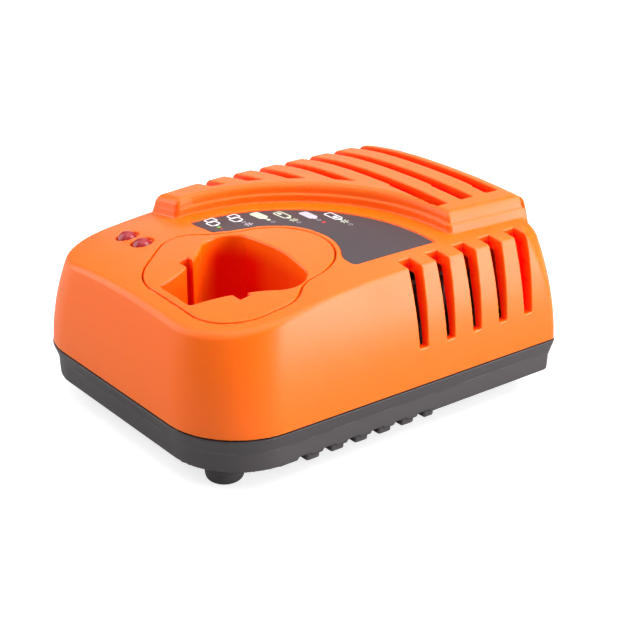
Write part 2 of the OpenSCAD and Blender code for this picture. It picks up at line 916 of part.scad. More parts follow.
module bridge_rectifier() {
    color([0.1, 0.1, 0.1])
        translate([-board_x + 6, 34, board_top]) {
            translate([0, 0, 3])
                cube([15, 3.6, 11]);
            for (i = [0:3])
                translate([1.6 + 3.8 * i, 1.5, 0])
                    cube([0.9, 0.6, 3]);
        }
}

choke_at = [-board_x + 15, 7.5, board_top + 1.1];
choke_r = 7;
choke_section = 3;

module filter_choke_core() {
    color([0.25, 0.3, 0.25])
        translate(choke_at)
            difference() {
                cylinder(r = choke_r + choke_section, h = 9);
                translate([0, 0, -1])
                    cylinder(r = choke_r - choke_section, h = 11);
            }
}

// Two coils of wire on opposite sides of the ring.
module filter_choke_winding() {
    turns = 5;
    wire = 0.9;
    inside = [2 * choke_section + 0.4, 9.4];
    outside = [inside[0] + 2 * wire, inside[1] + 2 * wire];
    color([0.8, 0.45, 0.15])
        translate([choke_at[0], choke_at[1], choke_at[2] + 4.5])
            for (side = [0, 180], i = [0:turns - 1])
                rotate(side + (i - (turns - 1) / 2) * 18)
                    translate([choke_r, 0, 0])
                        rotate([90, 0, 0])
                            linear_extrude(wire, center = true)
                                difference() {
                                    square(outside, center = true);
                                    square(inside, center = true);
                                }
}

module suppression_capacitor() {
    color([0.85, 0.75, 0.2])
        translate([-board_x + 5, 20, board_top])
            cube([18, 8, 14]);
}

fuse_at = [-board_x + 5, board_y[1] - 9.5, board_top + 5];
fuse_length = 20;

module fuse() {
    color([0.8, 0.8, 0.85])
        translate(fuse_at)
            rotate([0, 90, 0]) {
                cylinder(r = 2.35, h = fuse_length);
                for (z = [0, fuse_length - 5])
                    translate([0, 0, z])
                        cylinder(r = 2.6, h = 5);
            }
}

module fuse_clips() {
    hold = 2.65;
    color("silver")
        for (x = [0.7, fuse_length - 4.3])
            translate([fuse_at[0] + x, fuse_at[1], fuse_at[2]])
                rotate([90, 0, 90])
                    linear_extrude(3.6)
                        difference() {
                            union() {
                                circle(hold + 0.5);
                                translate([-hold - 0.5, board_top - fuse_at[2]])
                                    square([2 * hold + 1, 5]);
                            }
                            circle(hold);
                            translate([-1.8, 0])
                                square([3.6, 10]);
                        }
}

module control_chip() {
    color([0.1, 0.1, 0.1])
        translate([-20, board_y[0] + 12, board_top]) {
            translate([0, 0, 0.8])
                cube([9.8, 6.4, 3.3]);
            for (i = [0:3], side = [0, 1])
                translate([0.9 + 2.54 * i, side * 6.7 - 0.6, 0])
                    cube([0.6, 0.9, 2.2]);
        }
}

module case_screws() {
    color("silver")
        for (p = posts)
            translate([p[0], p[1], base_z + case_screw_well[1]])
                screw(case_screw_r, 17, 2.9, 2.2);
}

top_housing();
base_tray();
socket_insert();
status_label();
rubber_feet();
inlet_gland();
power_led_lens();
charge_led_lens();
power_led();
charge_led();
led_board();
led_board_screws();
led_leads();
contact_block();
contact_blades();
contact_leads();
socket_screws();
circuit_board();
board_screws();
transformer_core();
transformer_bobbin();
transformer_winding();
mains_capacitor();
output_capacitors();
heat_sink();
power_transistor();
rectifier_diode();
bridge_rectifier();
filter_choke_core();
filter_choke_winding();
suppression_capacitor();
fuse();
fuse_clips();
control_chip();
case_screws();
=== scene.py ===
import math

import bmesh
import bpy
import numpy as np
from mathutils import Matrix, Vector


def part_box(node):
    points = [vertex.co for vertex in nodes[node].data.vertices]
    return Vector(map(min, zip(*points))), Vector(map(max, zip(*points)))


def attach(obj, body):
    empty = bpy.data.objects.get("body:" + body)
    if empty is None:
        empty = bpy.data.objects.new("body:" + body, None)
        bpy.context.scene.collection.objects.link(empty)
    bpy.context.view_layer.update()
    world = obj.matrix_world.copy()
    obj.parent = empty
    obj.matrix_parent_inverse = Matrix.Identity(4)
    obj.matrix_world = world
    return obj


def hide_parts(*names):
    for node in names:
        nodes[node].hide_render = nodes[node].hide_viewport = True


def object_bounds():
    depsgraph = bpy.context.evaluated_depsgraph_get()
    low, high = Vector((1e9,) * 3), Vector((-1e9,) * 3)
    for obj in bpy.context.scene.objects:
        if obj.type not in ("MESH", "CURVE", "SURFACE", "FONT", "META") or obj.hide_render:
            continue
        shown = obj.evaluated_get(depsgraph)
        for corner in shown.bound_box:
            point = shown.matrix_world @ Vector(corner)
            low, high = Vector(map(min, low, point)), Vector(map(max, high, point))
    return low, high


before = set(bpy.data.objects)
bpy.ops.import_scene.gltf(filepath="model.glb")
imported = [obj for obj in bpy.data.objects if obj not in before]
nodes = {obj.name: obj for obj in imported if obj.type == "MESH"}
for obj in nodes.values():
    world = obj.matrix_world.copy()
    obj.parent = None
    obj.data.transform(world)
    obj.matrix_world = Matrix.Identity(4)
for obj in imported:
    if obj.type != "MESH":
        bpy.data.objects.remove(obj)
cad_low, cad_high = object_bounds()
MM = 0.001

# ---------------------------------------------------------------- camera
# The view is from the front right, a little above the roof, with a long lens at half a metre.
azimuth = math.radians(52.096)
elevation = math.radians(23.589)
roll = math.radians(0.333)
camera_at = (0.38825, -0.28928, 0.23658)
across = Vector((math.cos(azimuth), math.sin(azimuth), 0))
back = Vector((
    math.sin(azimuth) * math.cos(elevation),
    -math.cos(azimuth) * math.cos(elevation),
    math.sin(elevation),
))
upward = back.cross(across)


def linked(name, data):
    """New object in the scene."""
    made = bpy.data.objects.new(name, data)
    bpy.context.scene.collection.objects.link(made)
    return made


camera = linked("camera", bpy.data.cameras.new("camera"))
camera.data.sensor_width = 36
camera.data.lens = 83.38
camera.matrix_world = Matrix.Translation(camera_at) @ Matrix((
    across * math.cos(roll) + upward * math.sin(roll),
    upward * math.cos(roll) - across * math.sin(roll),
    back,
)).transposed().to_4x4()
bpy.context.scene.camera = camera

# ---------------------------------------------------------------- top housing
# Orange ABS moulding that holds everything from above: bowed walls, a crowned roof, and a raised block with
# grooves and vents at the back. It is one shell of even wall, pulled straight up out of its mould.
# Sizes are in millimetres, and a form is a signed distance: below zero inside, above zero outside.
side_x = cad_high.x / MM
back_y = cad_high.y / MM
parting_z = 20.3
roof_z = 62.6
crown_start_y = 83.4 - back_y
left_fall_x = -22
fall_2r = {"across": 876, "front": 672, "left": 640}
wall = 3
front_corner_r, rear_corner_r, rear_corner_growth = 26.7, 4, 1.08
edge_step = 0.25
crease_r = {"right": 0.9, "front": 1.6, "rear": 4}
bow = {"x": 118, "y": 140}
plumb_z = 15.9
fit_gap = 0.2

arc_x, arc_y, arc_r = side_x - 22, 38 - back_y, 74.2
block_h = 6.7
block_x = (10.2 - side_x, side_x - 21.2)
block_y = (47.8 - back_y, back_y)
block_flare, block_flare_y = 0.06, 38
block_corners = {"front_left": 2, "front_right": 1, "rear_left": 8, "rear_right": 1.2}
block_draft = {"left": 0.2, "right": 0.33, "front": 0.2, "arc": 0.1}
block_top_r = 2.4
block_band = 3.7
block_step = 0.75
band_fade, band_end_y = 6, 72.6
block_root = 6
block_arc_in, block_arc_edge_r = 0.6, 1.6
slot_pitch = 12
groove_count, groove_w, groove_depth = 7, 4.9, 3.6
groove_y = back_y - 9.1
groove_end_x, groove_end_r = side_x - 30.8, arc_r + 7.4
vent_count, vent_x, vent_lean, vent_widening = 3, 22.6, 8.6, 0.9
vent_end_r, vent_cut = arc_r + 2.4, 8
slot_count, slot_y, slot_z = 5, back_y - 64.9, 33.1
slot_foot_w, slot_top_w = 3.5, 5.8
slot_root_x = side_x - 14.8
slot_depth = 5
behind_slots, backing_growth, backing_run = 0.8, 1.6, 14
seam = 0.6
label_depth = 0.5
label_arc_gap, label_plate_gap, label_side_gap = 8.5, 2.2, 19.7
label_front_y, label_corner_r = 48.3 - back_y, 0.6
label_end_x, label_end_y, label_end_r = 16, 68.5 - back_y, 1.8
rebate_in, rebate_h = 1.45, 2.3
led_spots = ((25.4 - side_x, 29 - back_y), (35.9 - side_x, 28.6 - back_y))
led_well_r, led_well_depth, led_hole_r = 4.1, 1.1, 3.75


def both(a, b, r=0.0):
    """Inside a and inside b, with the edge where they meet rounded to r."""
    return np.minimum(np.maximum(a, b), -r) + np.hypot(np.maximum(a + r, 0), np.maximum(b + r, 0))


def either(a, b, r=0.0):
    """Inside a or inside b, with a fillet of radius r where they meet."""
    return -both(-a, -b, r)


def without(a, b, r=0.0):
    """Form a with b cut out of it, and the rim of the cut rounded to r."""
    return both(a, -b, r)


def rounded(x, y, half_x, half_y, r):
    """Rectangle in plan with corners of radius r."""
    over_x, over_y = np.abs(x) - half_x + r, np.abs(y) - half_y + r
    outside = np.hypot(np.maximum(over_x, 0), np.maximum(over_y, 0))
    return outside + np.minimum(np.maximum(over_x, over_y), 0) - r


def round_bar(x, y, at, r):
    """Upright cylinder."""
    return np.hypot(x - at[0], y - at[1]) - r


def ramp(value, start, run):
    """Rises from 0 at start to 1 one run further on."""
    return np.clip((value - start) / run, 0, 1)


def roof(x, y):
    """Height of the roof: crowned across the case, and falling away towards the front and the left. Each fall
    is the square of a distance over twice its radius."""
    to_front = np.minimum(y - crown_start_y, 0) ** 2 / fall_2r["front"]
    to_left = np.minimum(x - left_fall_x, 0) ** 2 / fall_2r["left"]
    return roof_z - x * x / fall_2r["across"] - (to_front + to_left)


def case_plan(x, y, side_in, front_in, back_in, front_r, rear_r):
    """Plan of the case with its walls set in, and a radius for the front corners and one for the rear."""
    corner = np.where(y < 0, front_r, np.maximum(rear_r, 0.6))
    half_y = back_y - (front_in + back_in) / 2
    return rounded(x, y - (front_in - back_in) / 2, side_x - side_in, half_y, corner)


def case_walls(x, y, z, inset=0.0):
    """The housing's outer walls. The back is plumb, and the others bow in as they rise."""
    rise = z - plumb_z
    side_bow, front_bow = (r - np.sqrt(r ** 2 - rise ** 2) for r in bow.values())
    deep = inset + edge_step
    rear_r = rear_corner_r + rear_corner_growth * side_bow - deep
    plan = case_plan(x, y, side_bow + deep, front_bow + deep, deep, front_corner_r - deep, rear_r)
    return plan / np.hypot(1, rise / bow["x"])


def from_arc(x, y):
    """Distance from the centre of the arc that the block's hollow front and the label follow."""
    return np.hypot(x - arc_x, y - arc_y)


def block_sides(x, y, up):
    """Sides of the vented block at a height above the roof: a plumb back, and draft on the hollow front and
    on both ends. The right end flares a little towards the back."""
    x0, x1 = block_x[0] + block_draft["left"] * up, block_x[1] - block_draft["right"] * up
    y0, y1 = block_y[0] + block_draft["front"] * up, block_y[1]
    x1 = x1 + block_flare * np.maximum(y - block_flare_y, 0)
    left, front = x < (x0 + x1) / 2, y < (y0 + y1) / 2
    front_r = np.where(left, block_corners["front_left"], block_corners["front_right"])
    rear_r = np.where(left, block_corners["rear_left"], block_corners["rear_right"])
    plan = rounded(
        x - (x0 + x1) / 2, y - (y0 + y1) / 2, (x1 - x0) / 2, (y1 - y0) / 2, np.where(front, front_r, rear_r))
    hollow_front = arc_r - block_arc_in + block_draft["arc"] * up - from_arc(x, y)
    return both(plan, hollow_front, block_arc_edge_r)


def grooves(x, y, z):
    """Grooves across the block, open to the left. The rear ones go through near their right ends."""
    floor = roof(x, y) + block_h - groove_depth
    row = np.clip(np.round((groove_y + groove_w / 2 - y) / slot_pitch), 0, groove_count - 1)
    middle = groove_y + groove_w / 2 - row * slot_pitch
    lane = np.abs(y - middle) - groove_w / 2
    ends = both(x - groove_end_x, groove_end_r - from_arc(x, y), 0.5)
    blind = both(both(lane, ends, 0.8), floor - z, 0.5)
    wide = np.abs(y - middle + vent_widening / 2) - (groove_w + vent_widening) / 2
    reach = both(x - groove_end_x, vent_x - row * vent_lean - x)
    reach = both(reach, vent_end_r - from_arc(x, y), 0.5)
    through = both(both(wide, reach, 0.8), np.maximum(row - vent_count + 0.5, roof(x, y) - vent_cut - z))
    return np.minimum(blind, through)


def wall_slot(x, y, z):
    """Slots in the right wall, which widen upwards and wrap over on to the roof."""
    row = np.clip(np.floor((y - slot_y + slot_pitch / 3) / slot_pitch), 0, slot_count - 1)
    from_y = slot_y + row * slot_pitch
    width = slot_foot_w + (slot_top_w - slot_foot_w) * (z - slot_z) / (roof_z - slot_z)
    lane = np.maximum(from_y - y, y - from_y - width)
    return both(lane, slot_z - z, 0.6)


def outline(circles, hollows):
    """Arcs and straight runs of an outline walked anticlockwise round circles (x, y, r). hollows holds the
    radius of the blend between each circle and the next, or 0 for a straight run along both."""
    def heading(v):
        return math.atan2(v[1], v[0])

    def blend_centre(a, b, r):
        v = np.subtract(b[:2], a[:2])
        d = math.hypot(*v)
        along = ((a[2] + r) ** 2 - (b[2] + r) ** 2 + d * d) / (2 * d)
        aside = math.sqrt((a[2] + r) ** 2 - along ** 2)
        return np.array(a[:2]) + (along * v + aside * np.array((v[1], -v[0]))) / d

    def turn_to(a, b, r, at):
        v = np.subtract(b[:2], a[:2])
        if r > 0:
            return heading(blend_centre(a, b, r) - np.array(at[:2]))
        return heading(v) - math.acos((a[2] - b[2]) / math.hypot(*v))

    parts = []
    for i, here in enumerate(circles):
        before, after = circles[i - 1], circles[(i + 1) % len(circles)]
        start = turn_to(before, here, hollows[i - 1], here)
        stop = turn_to(here, after, hollows[i], here)
        parts.append(("arc", here[0], here[1], here[2], start, (stop - start) % (2 * math.pi)))
        if hollows[i] > 0:
            centre = blend_centre(here, after, hollows[i])
            turn_in = heading(np.array(here[:2]) - centre)
            turn_out = heading(np.array(after[:2]) - centre)
            parts.append(("hollow", *centre, hollows[i], turn_out, (turn_in - turn_out) % (2 * math.pi)))
        else:
            out = np.array((math.cos(stop), math.sin(stop)))
            leaves, meets = (np.array(circle[:2]) + circle[2] * out for circle in (here, after))
            parts.append(("run", *leaves, *meets))
    return parts


def inside_outline(x, y, parts):
    """Signed distance to an outline, from whichever of its parts is nearest."""
    nearest = np.full(np.shape(x), 1e3, np.float32)
    signed = nearest.copy()
    for kind, *sizes in parts:
        if kind == "run":
            x0, y0, x1, y1 = sizes
            length = math.hypot(x1 - x0, y1 - y0)
            along = ((x - x0) * (x1 - x0) + (y - y0) * (y1 - y0)) / length
            value = ((x - x0) * (y1 - y0) - (y - y0) * (x1 - x0)) / length
            beside = (along >= 0) & (along <= length)
        else:
            cx, cy, r, start, sweep = sizes
            value = (np.hypot(x - cx, y - cy) - r) * (1 if kind == "arc" else -1)
            beside = (np.arctan2(y - cy, x - cx) - start) % (2 * math.pi) <= sweep
        closer = beside & (np.abs(value) < nearest)
        nearest = np.where(closer, np.abs(value), nearest)
        signed = np.where(closer, value, signed)
    return signed


socket_x, socket_y = side_x - 44, 29.5 - back_y
plate_outline = outline(
    [(-9, 2.5, 19.9), (13.5, -0.5, 16.9), (18.5, 6, 12), (0.3, 21.5, 22), (-26, 6.5, 9)], [0, 0, 16, 30, 0])


def plate_plan(x, y):
    """Plan of the socket's top plate."""
    return inside_outline(x - socket_x, y - socket_y, plate_outline)


def label_plan(x, y, tip_r=label_corner_r):
    """Plan of the label's recess, between the block's foot and the socket's plate."""
    band = both(from_arc(x, y) - arc_r + label_arc_gap, label_front_y - y, label_corner_r)
    band = both(band, x - side_x + label_side_gap, label_corner_r)
    band = both(band, label_plate_gap - plate_plan(x, y), tip_r)
    return both(band, np.minimum(x - socket_x - label_end_x, label_end_y - y), label_end_r)


def housing_blank(x, y, z):
    """The moulding's outside before anything is cut: the crowned case, and the block with its two bands."""
    under = z - roof(x, y)
    to_right = ramp(x, 28, 12) * ramp(y, -50, 25)
    to_rear = ramp(y, 62, 5)
    crease = crease_r["front"] + (crease_r["right"] - crease_r["front"]) * to_right
    body = both(case_walls(x, y, z), under, crease + (crease_r["rear"] - crease) * to_rear)
    block = block_sides(x, y, np.clip(under, -block_root, block_h))
    banded = np.clip((y - block_y[0]) / band_fade - 0.2, 0, 1) * ramp(y, band_end_y, -0.8)
    upper = both(block + block_step * banded, under - block_h, block_top_r)
    lower = both(block, under - block_h + block_band, 0.8)
    blank = either(body, either(upper, lower, 0.4), 0.8)
    return np.maximum(blank, y - back_y + edge_step)


def housing_hollow(x, y, z):
    """The room inside, with more left standing behind the last wall slot, which is blind."""
    under = z - roof(x, y)
    hollow = both(case_walls(x, y, z, wall), under + wall, 1.5)
    above = both(block_sides(x, y, np.clip(under, -block_root, block_h)) + wall, under - 0.3, 1)
    last = y > slot_y + (slot_count - 1) * slot_pitch - 2
    thick = np.where(last, slot_depth + behind_slots, wall + backing_growth * ramp(z, slot_z, backing_run))
    backing = np.maximum(-np.maximum(case_walls(x, y, z), under) - thick, slot_y - 2 - y)
    return without(np.minimum(hollow, above), np.maximum(backing, slot_root_x - 1 - x), 0.5)


def housing(x, y, z):
    under = z - roof(x, y)
    blank = housing_blank(x, y, z)
    form = without(blank, housing_hollow(x, y, z))
    slot = both(wall_slot(x, y, z), np.maximum(slot_root_x - x, -blank - slot_depth), 0.5)
    form = without(form, slot, 0.35)
    form = without(form, grooves(x, y, z), 0.45)
    form = without(form, plate_plan(x, y) - seam, 0.25)
    form = without(form, both(label_plan(x, y), -under - label_depth), 0.25)
    for spot in led_spots:
        well = both(round_bar(x, y, spot, led_well_r), -under - led_well_depth)
        form = without(form, np.minimum(well, round_bar(x, y, spot, led_hole_r)), 0.3)
    form = without(form, np.maximum(case_walls(x, y, z, rebate_in), z - parting_z - rebate_h))
    return both(form, parting_z - z, 0.25)


def housing_painted_shade(x, y, z):
    """Share of painted shade and glow at a spot of the surface, from 0 to 1: the further down in a recess,
    the more. The shell's inside counts as 0.
    """
    deep = np.clip(-housing_blank(x, y, z) / 2.2 - 0.1, 0, 1)
    return deep * np.clip(housing_hollow(x, y, z) / 0.8 - 0.2, 0, 1) * (z > parting_z + 3)


def skin(name, form, low, high, pitch, faces, squeeze=None, depth=None):
    """Mesh of the surface of a form, in metres, with about that many triangles. The form is sampled every
    pitch, only near its surface. Each vertex is then moved on to the surface and takes its normal from the
    form, or from the mesh where the two disagree. It notes in "edge" how strongly the surface turns there:
    above zero on an outer edge, below zero in a corner. Where depth is given, the note "deep" holds the share
    of painted shade and glow that depth gives each spot."""
    block, batch = 4, 8000
    h, agree = 0.04, 0.3
    low = np.array(low, float)
    count = np.ceil((np.array(high) - low) / (pitch * block)).astype(int)
    middles = [low[a] + pitch * block * (np.arange(count[a]) + 0.5) for a in range(3)]
    coarse = form(*np.meshgrid(*middles, indexing="ij"))
    grid = np.ones(count * block + 1, np.float32)
    grid[:-1, :-1, :-1] = np.sign(coarse).repeat(block, 0).repeat(block, 1).repeat(block, 2)
    steps = np.stack(np.meshgrid(*[np.arange(block + 1)] * 3, indexing="ij"), -1).reshape(-1, 3)
    near = np.argwhere(np.abs(coarse) < pitch * block)
    for group in np.array_split(near, max(1, len(near) // batch)):
        spots = (group[:, None] * block + steps).reshape(-1, 3)
        grid[tuple(spots.T)] = form(*(low + pitch * spots).astype(np.float32).T)

    shape = np.array(grid.shape)
    stride = np.array((shape[1] * shape[2], shape[2], 1))
    cells, crossings, corners = [], [], []
    for axis in range(3):
        lower = np.moveaxis(grid, axis, 0)[:-1]
        upper = np.moveaxis(grid, axis, 0)[1:]
        found = np.argwhere((lower < 0) != (upper < 0))
        a, b = lower[tuple(found.T)], upper[tuple(found.T)]
        order = [axis, *[k for k in range(3) if k != axis]]
        spot = np.empty_like(found)
        spot[:, order] = found
        point = spot.astype(float)
        point[:, axis] += a / (a - b)
        one, two = stride[(axis + 1) % 3], stride[(axis + 2) % 3]
        cell = (spot @ stride)[:, None] - np.array((0, one, one + two, two))
        cell[a > 0] = cell[a > 0][:, ::-1]
        corners.append(cell)
        cells.append(cell.ravel())
        crossings.append(point.repeat(4, 0))
    places, which = np.unique(np.concatenate(cells), return_inverse=True)
    crossings = np.concatenate(crossings)
    total = np.bincount(which)
    points = np.stack([np.bincount(which, crossings[:, k]) / total for k in range(3)], 1) * pitch + low
    quads = which.reshape(-1, 4)

    mesh = bpy.data.meshes.new(name)
    mesh.vertices.add(len(points))
    mesh.vertices.foreach_set("co", points.astype(np.float32).ravel())
    mesh.loops.add(quads.size)
    mesh.loops.foreach_set("vertex_index", quads.astype(np.int32).ravel())
    mesh.polygons.add(len(quads))
    mesh.polygons.foreach_set("loop_start", np.arange(0, quads.size, 4, dtype=np.int32))
    mesh.update(calc_edges=True)
    piece = linked(name, mesh)
    if faces < 2 * len(quads):
        thin = piece.modifiers.new("thin", "DECIMATE")
        thin.ratio = faces / (2 * len(quads))
        graph = bpy.context.evaluated_depsgraph_get()
        reduced = bpy.data.meshes.new_from_object(piece.evaluated_get(graph))
        piece.modifiers.clear()
        piece.data = reduced
        bpy.data.meshes.remove(mesh)
        mesh = reduced
        mesh.name = name

    points = np.empty(len(mesh.vertices) * 3, np.float32)
    mesh.vertices.foreach_get("co", points)
    points = points.reshape(-1, 3).astype(float)

    def slope(p):
        """Gradient of the form at each point, and how much the form turns there."""
        sides = [form(*(p + np.eye(3)[k] * s * h).T) for k in range(3) for s in (1, -1)]
        steepness = np.stack([sides[k] - sides[k + 1] for k in (0, 2, 4)], 1) / (2 * h)
        return steepness, sum(sides) - 6 * form(*p.T)

    for _ in range(3):
        gradient, _ = slope(points)
        step = form(*points.T)[:, None] * gradient / np.maximum((gradient ** 2).sum(1, keepdims=True), 0.3)
        points -= np.clip(step, -pitch / 3, pitch / 3)
    gradient, turn = slope(points)
    deep = np.zeros(len(points)) if depth is None else depth(*points.T)
    normals = gradient / np.maximum(np.linalg.norm(gradient, axis=1, keepdims=True), 1e-6)
    if squeeze is not None:
        points, normals = squeeze(points, normals)
    mesh.vertices.foreach_set("co", (points * MM).astype(np.float32).ravel())
    mesh.update()
    plain = np.empty(len(points) * 3, np.float32)
    mesh.vertex_normals.foreach_get("vector", plain)
    plain = plain.reshape(-1, 3)
    unsure = (normals * plain).sum(1) < agree
    normals[unsure] = plain[unsure]
    mesh.polygons.foreach_set("use_smooth", np.ones(len(mesh.polygons), bool))
    mesh.normals_split_custom_set_from_vertices(normals.tolist())
    for note, values in (("edge", np.clip(turn / h ** 2, -2, 2)), ("deep", deep)):
        mesh.attributes.new(note, "FLOAT", "POINT").data.foreach_set("value", values.astype(np.float32))
    mesh.update()
    return piece


def add(tree, kind, inputs, **settings):
    """Adds a shader node, sets its settings and links or sets its inputs."""
    made = tree.nodes.new(kind)
    for key, value in settings.items():
        setattr(made, key, value)
    for key, value in inputs.items():
        if isinstance(value, bpy.types.NodeSocket):
            tree.links.new(value, made.inputs[key])
        else:
            made.inputs[key].default_value = value
    return made


def maths(tree, operation, *values):
    """Output of a new Math node."""
    return add(tree, "ShaderNodeMath", dict(enumerate(values)), operation=operation).outputs[0]


def mapped(tree, value, start, stop, low=0.0, high=1.0, **settings):
    """Output of a new Map Range node."""
    limits = {"Value": value, "From Min": start, "From Max": stop, "To Min": low, "To Max": high}
    return add(tree, "ShaderNodeMapRange", limits, **settings).outputs[0]


def noise(tree, place, scale, detail, roughness=0.5):
    """Output of a new Noise Texture node."""
    return add(tree, "ShaderNodeTexNoise", {
        "Vector": place, "Scale": scale, "Detail": detail, "Roughness": roughness}).outputs["Fac"]


def mixed(tree, share, one, two):
    """Colour between two colours. Each is a socket, or three numbers."""
    one, two = (c if isinstance(c, bpy.types.NodeSocket) else [*c, 1] for c in (one, two))
    return add(tree, "ShaderNodeMixRGB", {"Fac": share, "Color1": one, "Color2": two}).outputs[0]


def group(name, inputs, outputs):
    """Empty shader node group with named inputs, which are numbers, and named outputs of the given types."""
    tree = bpy.data.node_groups.new(name, "ShaderNodeTree")
    for key, value in inputs.items():
        socket = tree.interface.new_socket(key, in_out="INPUT", socket_type="NodeSocketFloat")
        socket.default_value = value
    for key, kind in outputs.items():
        tree.interface.new_socket(key, in_out="OUTPUT", socket_type=kind)
    return tree, tree.nodes.new("NodeGroupInput"), tree.nodes.new("NodeGroupOutput")


# Spark-eroded mould texture: fine pits all over, and a slow drift in gloss from the flow of the plastic.
grain, given, result = group(
    "mould_grain", {"Pits per metre": 1600.0, "Drift": 0.3},
    {"Height": "NodeSocketFloat", "Gloss": "NodeSocketFloat", "Tone": "NodeSocketFloat"})
place = add(grain, "ShaderNodeTexCoord", {}).outputs["Object"]
pits = noise(grain, place, given.outputs["Pits per metre"], 3.0)
flow = noise(grain, place, 22.0, 2.0, 0.6)
gloss = maths(grain, "MULTIPLY", maths(grain, "SUBTRACT", flow, 0.5), given.outputs["Drift"])
speck = maths(grain, "SUBTRACT", pits, 0.5)
grain.links.new(pits, result.inputs["Height"])
grain.links.new(gloss, result.inputs["Gloss"])
grain.links.new(maths(grain, "MULTIPLY_ADD", speck, 0.35, gloss), result.inputs["Tone"])

# Handling wear: outer edges are rubbed a little paler and smoother, and inner corners take a tint: a little
# dust on the dark parts, a darker, redder orange on the orange ones.
wear, given, result = group(
    "edge_wear", {"Rub": 0.35, "Dust": 0.4}, {"Rubbed": "NodeSocketFloat", "Dusty": "NodeSocketFloat"})
turn = add(wear, "ShaderNodeAttribute", {}, attribute_name="edge").outputs["Fac"]
place = add(wear, "ShaderNodeTexCoord", {}).outputs["Object"]
ridge = mapped(wear, turn, 0.9, 2.0)
corner = mapped(wear, turn, -0.4, -1.6)
patchy = mapped(wear, noise(wear, place, 160.0, 4.0), 0.4, 0.65)
for side, amount, name in ((ridge, "Rub", "Rubbed"), (corner, "Dust", "Dusty")):
    much = maths(wear, "MULTIPLY", side, given.outputs[amount])
    wear.links.new(maths(wear, "MULTIPLY", much, patchy), result.inputs[name])


def moulding(name, colour, rubbed, corner_tint, roughness, pit_depth, pits_per_metre=1600.0,
             glow=None, specular=0.5, fade=None):
    """Satin injection moulding: colour, its tint on rubbed outer edges and in inner corners, and the depth of
    its texture. With glow, the recesses that the mesh notes as "deep" are painted a darker red, as painted
    shade, and given a faint red glow, as painted light, while the walls let a little light through. With
    fade, the painted red and glow come on between two heights."""
    # Darker red painted into recesses as shade.
    painted_shade_red = (0.62, 0.004, 0)
    material = bpy.data.materials.new(name)
    material.use_nodes = True
    tree = material.node_tree
    shader = tree.nodes["Principled BSDF"]
    texture = add(tree, "ShaderNodeGroup", {}, node_tree=grain)
    texture.inputs["Pits per metre"].default_value = pits_per_metre
    worn = add(tree, "ShaderNodeGroup", {}, node_tree=wear)
    darker, lighter = [c * 0.93 for c in colour], [min(c * 1.07, 1) for c in colour]
    final = mixed(tree, maths(tree, "ADD", texture.outputs["Tone"], 0.5), darker, lighter)
    final = mixed(tree, worn.outputs["Rubbed"], final, rubbed)
    final = mixed(tree, worn.outputs["Dusty"], final, corner_tint)
    # Painted shade and painted glow: where the mesh notes "deep", the colour turns towards the painted darker
    # red and a faint red emission is added. The subsurface below is the real light through the walls.
    if glow:
        deep = add(tree, "ShaderNodeAttribute", {}, attribute_name="deep").outputs["Fac"]
        if fade:
            spot = add(tree, "ShaderNodeTexCoord", {}).outputs["Object"]
            height = add(tree, "ShaderNodeSeparateXYZ", {"Vector": spot}).outputs["Z"]
            start, stop = (z * MM for z in fade)
            sunk = mapped(tree, height, start, stop, interpolation_type="SMOOTHSTEP")
            deep = maths(tree, "MULTIPLY", deep, sunk)
        final = mixed(tree, deep, final, painted_shade_red)
        tree.links.new(mixed(tree, deep, (0, 0, 0), glow), shader.inputs["Emission Color"])
        shader.inputs["Emission Strength"].default_value = 1
        shader.inputs["Subsurface Weight"].default_value = 0.3
        shader.inputs["Subsurface Radius"].default_value = (1.0, 0.12, 0.01)
        shader.inputs["Subsurface Scale"].default_value = 4 * MM
    tree.links.new(final, shader.inputs["Base Color"])
    tree.links.new(maths(tree, "ADD", texture.outputs["Gloss"], roughness), shader.inputs["Roughness"])
    bump = add(tree, "ShaderNodeBump", {
        "Height": texture.outputs["Height"], "Strength": 1.0, "Distance": pit_depth * MM})
    tree.links.new(bump.outputs[0], shader.inputs["Normal"])
    shader.inputs["IOR"].default_value = 1.5
    shader.inputs["Specular IOR Level"].default_value = specular
    return material


def put_on(piece, material, slot, *replaced):
    """Gives a piece its material and its place in the part."""
    if material:
        piece.data.materials.clear()
        piece.data.materials.append(material)
    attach(piece, "root")
    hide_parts(*replaced)


# Orange of the mouldings, paler on rubbed edges, and darker and redder in inner corners.
orange, rubbed_orange, corner_orange = (1.0, 0.142, 0.0), (1.0, 0.24, 0.03), (0.95, 0.1, 0.005)
# The housing's recesses, the deeper the more, take a painted shade of darker red and a faint painted red
# glow.
orange_shell = moulding("housing_orange", orange, rubbed_orange, corner_orange, 0.36, 0.015,
                        glow=(0.34, 0.0, 0.0), specular=0.35)
housing_shell = skin(
    "housing_shell", housing, (-side_x - 1, -back_y - 1, parting_z - 1), (side_x + 1, back_y + 1, roof_z + 8),
    pitch=0.5, faces=190_000, depth=housing_painted_shade)
put_on(housing_shell, orange_shell, "orange_shell", "top_housing")

# ---------------------------------------------------------------- socket insert
# Orange moulding screwed up under the roof: a flush top plate and the keyed tub that guides the battery's
# stem. A rib on the stem runs in the groove on either side, and the contacts come up through the floor.
pocket_floor_z = 16
pocket_wall = 2.2
lip_w, lip_t = 1.6, 1.8
key_reach, key_w, key_z, key_root_z = 18, 4, roof_z - 22, roof_z - 28
pocket_outline = outline(
    [(7.7, -13.4, 1.5), (14.6, 15.8, 8.8), (0, -13.4, 40), (-15, 15.8, 9), (-7.7, -13.4, 1.5)],
    [70, 0, 0, 34, 0])
insert_ears = ((-25, 35.5), (25.5, 32), (-32, -11))
ear_z, ear_t, ear_r = 48, 2.4, 3
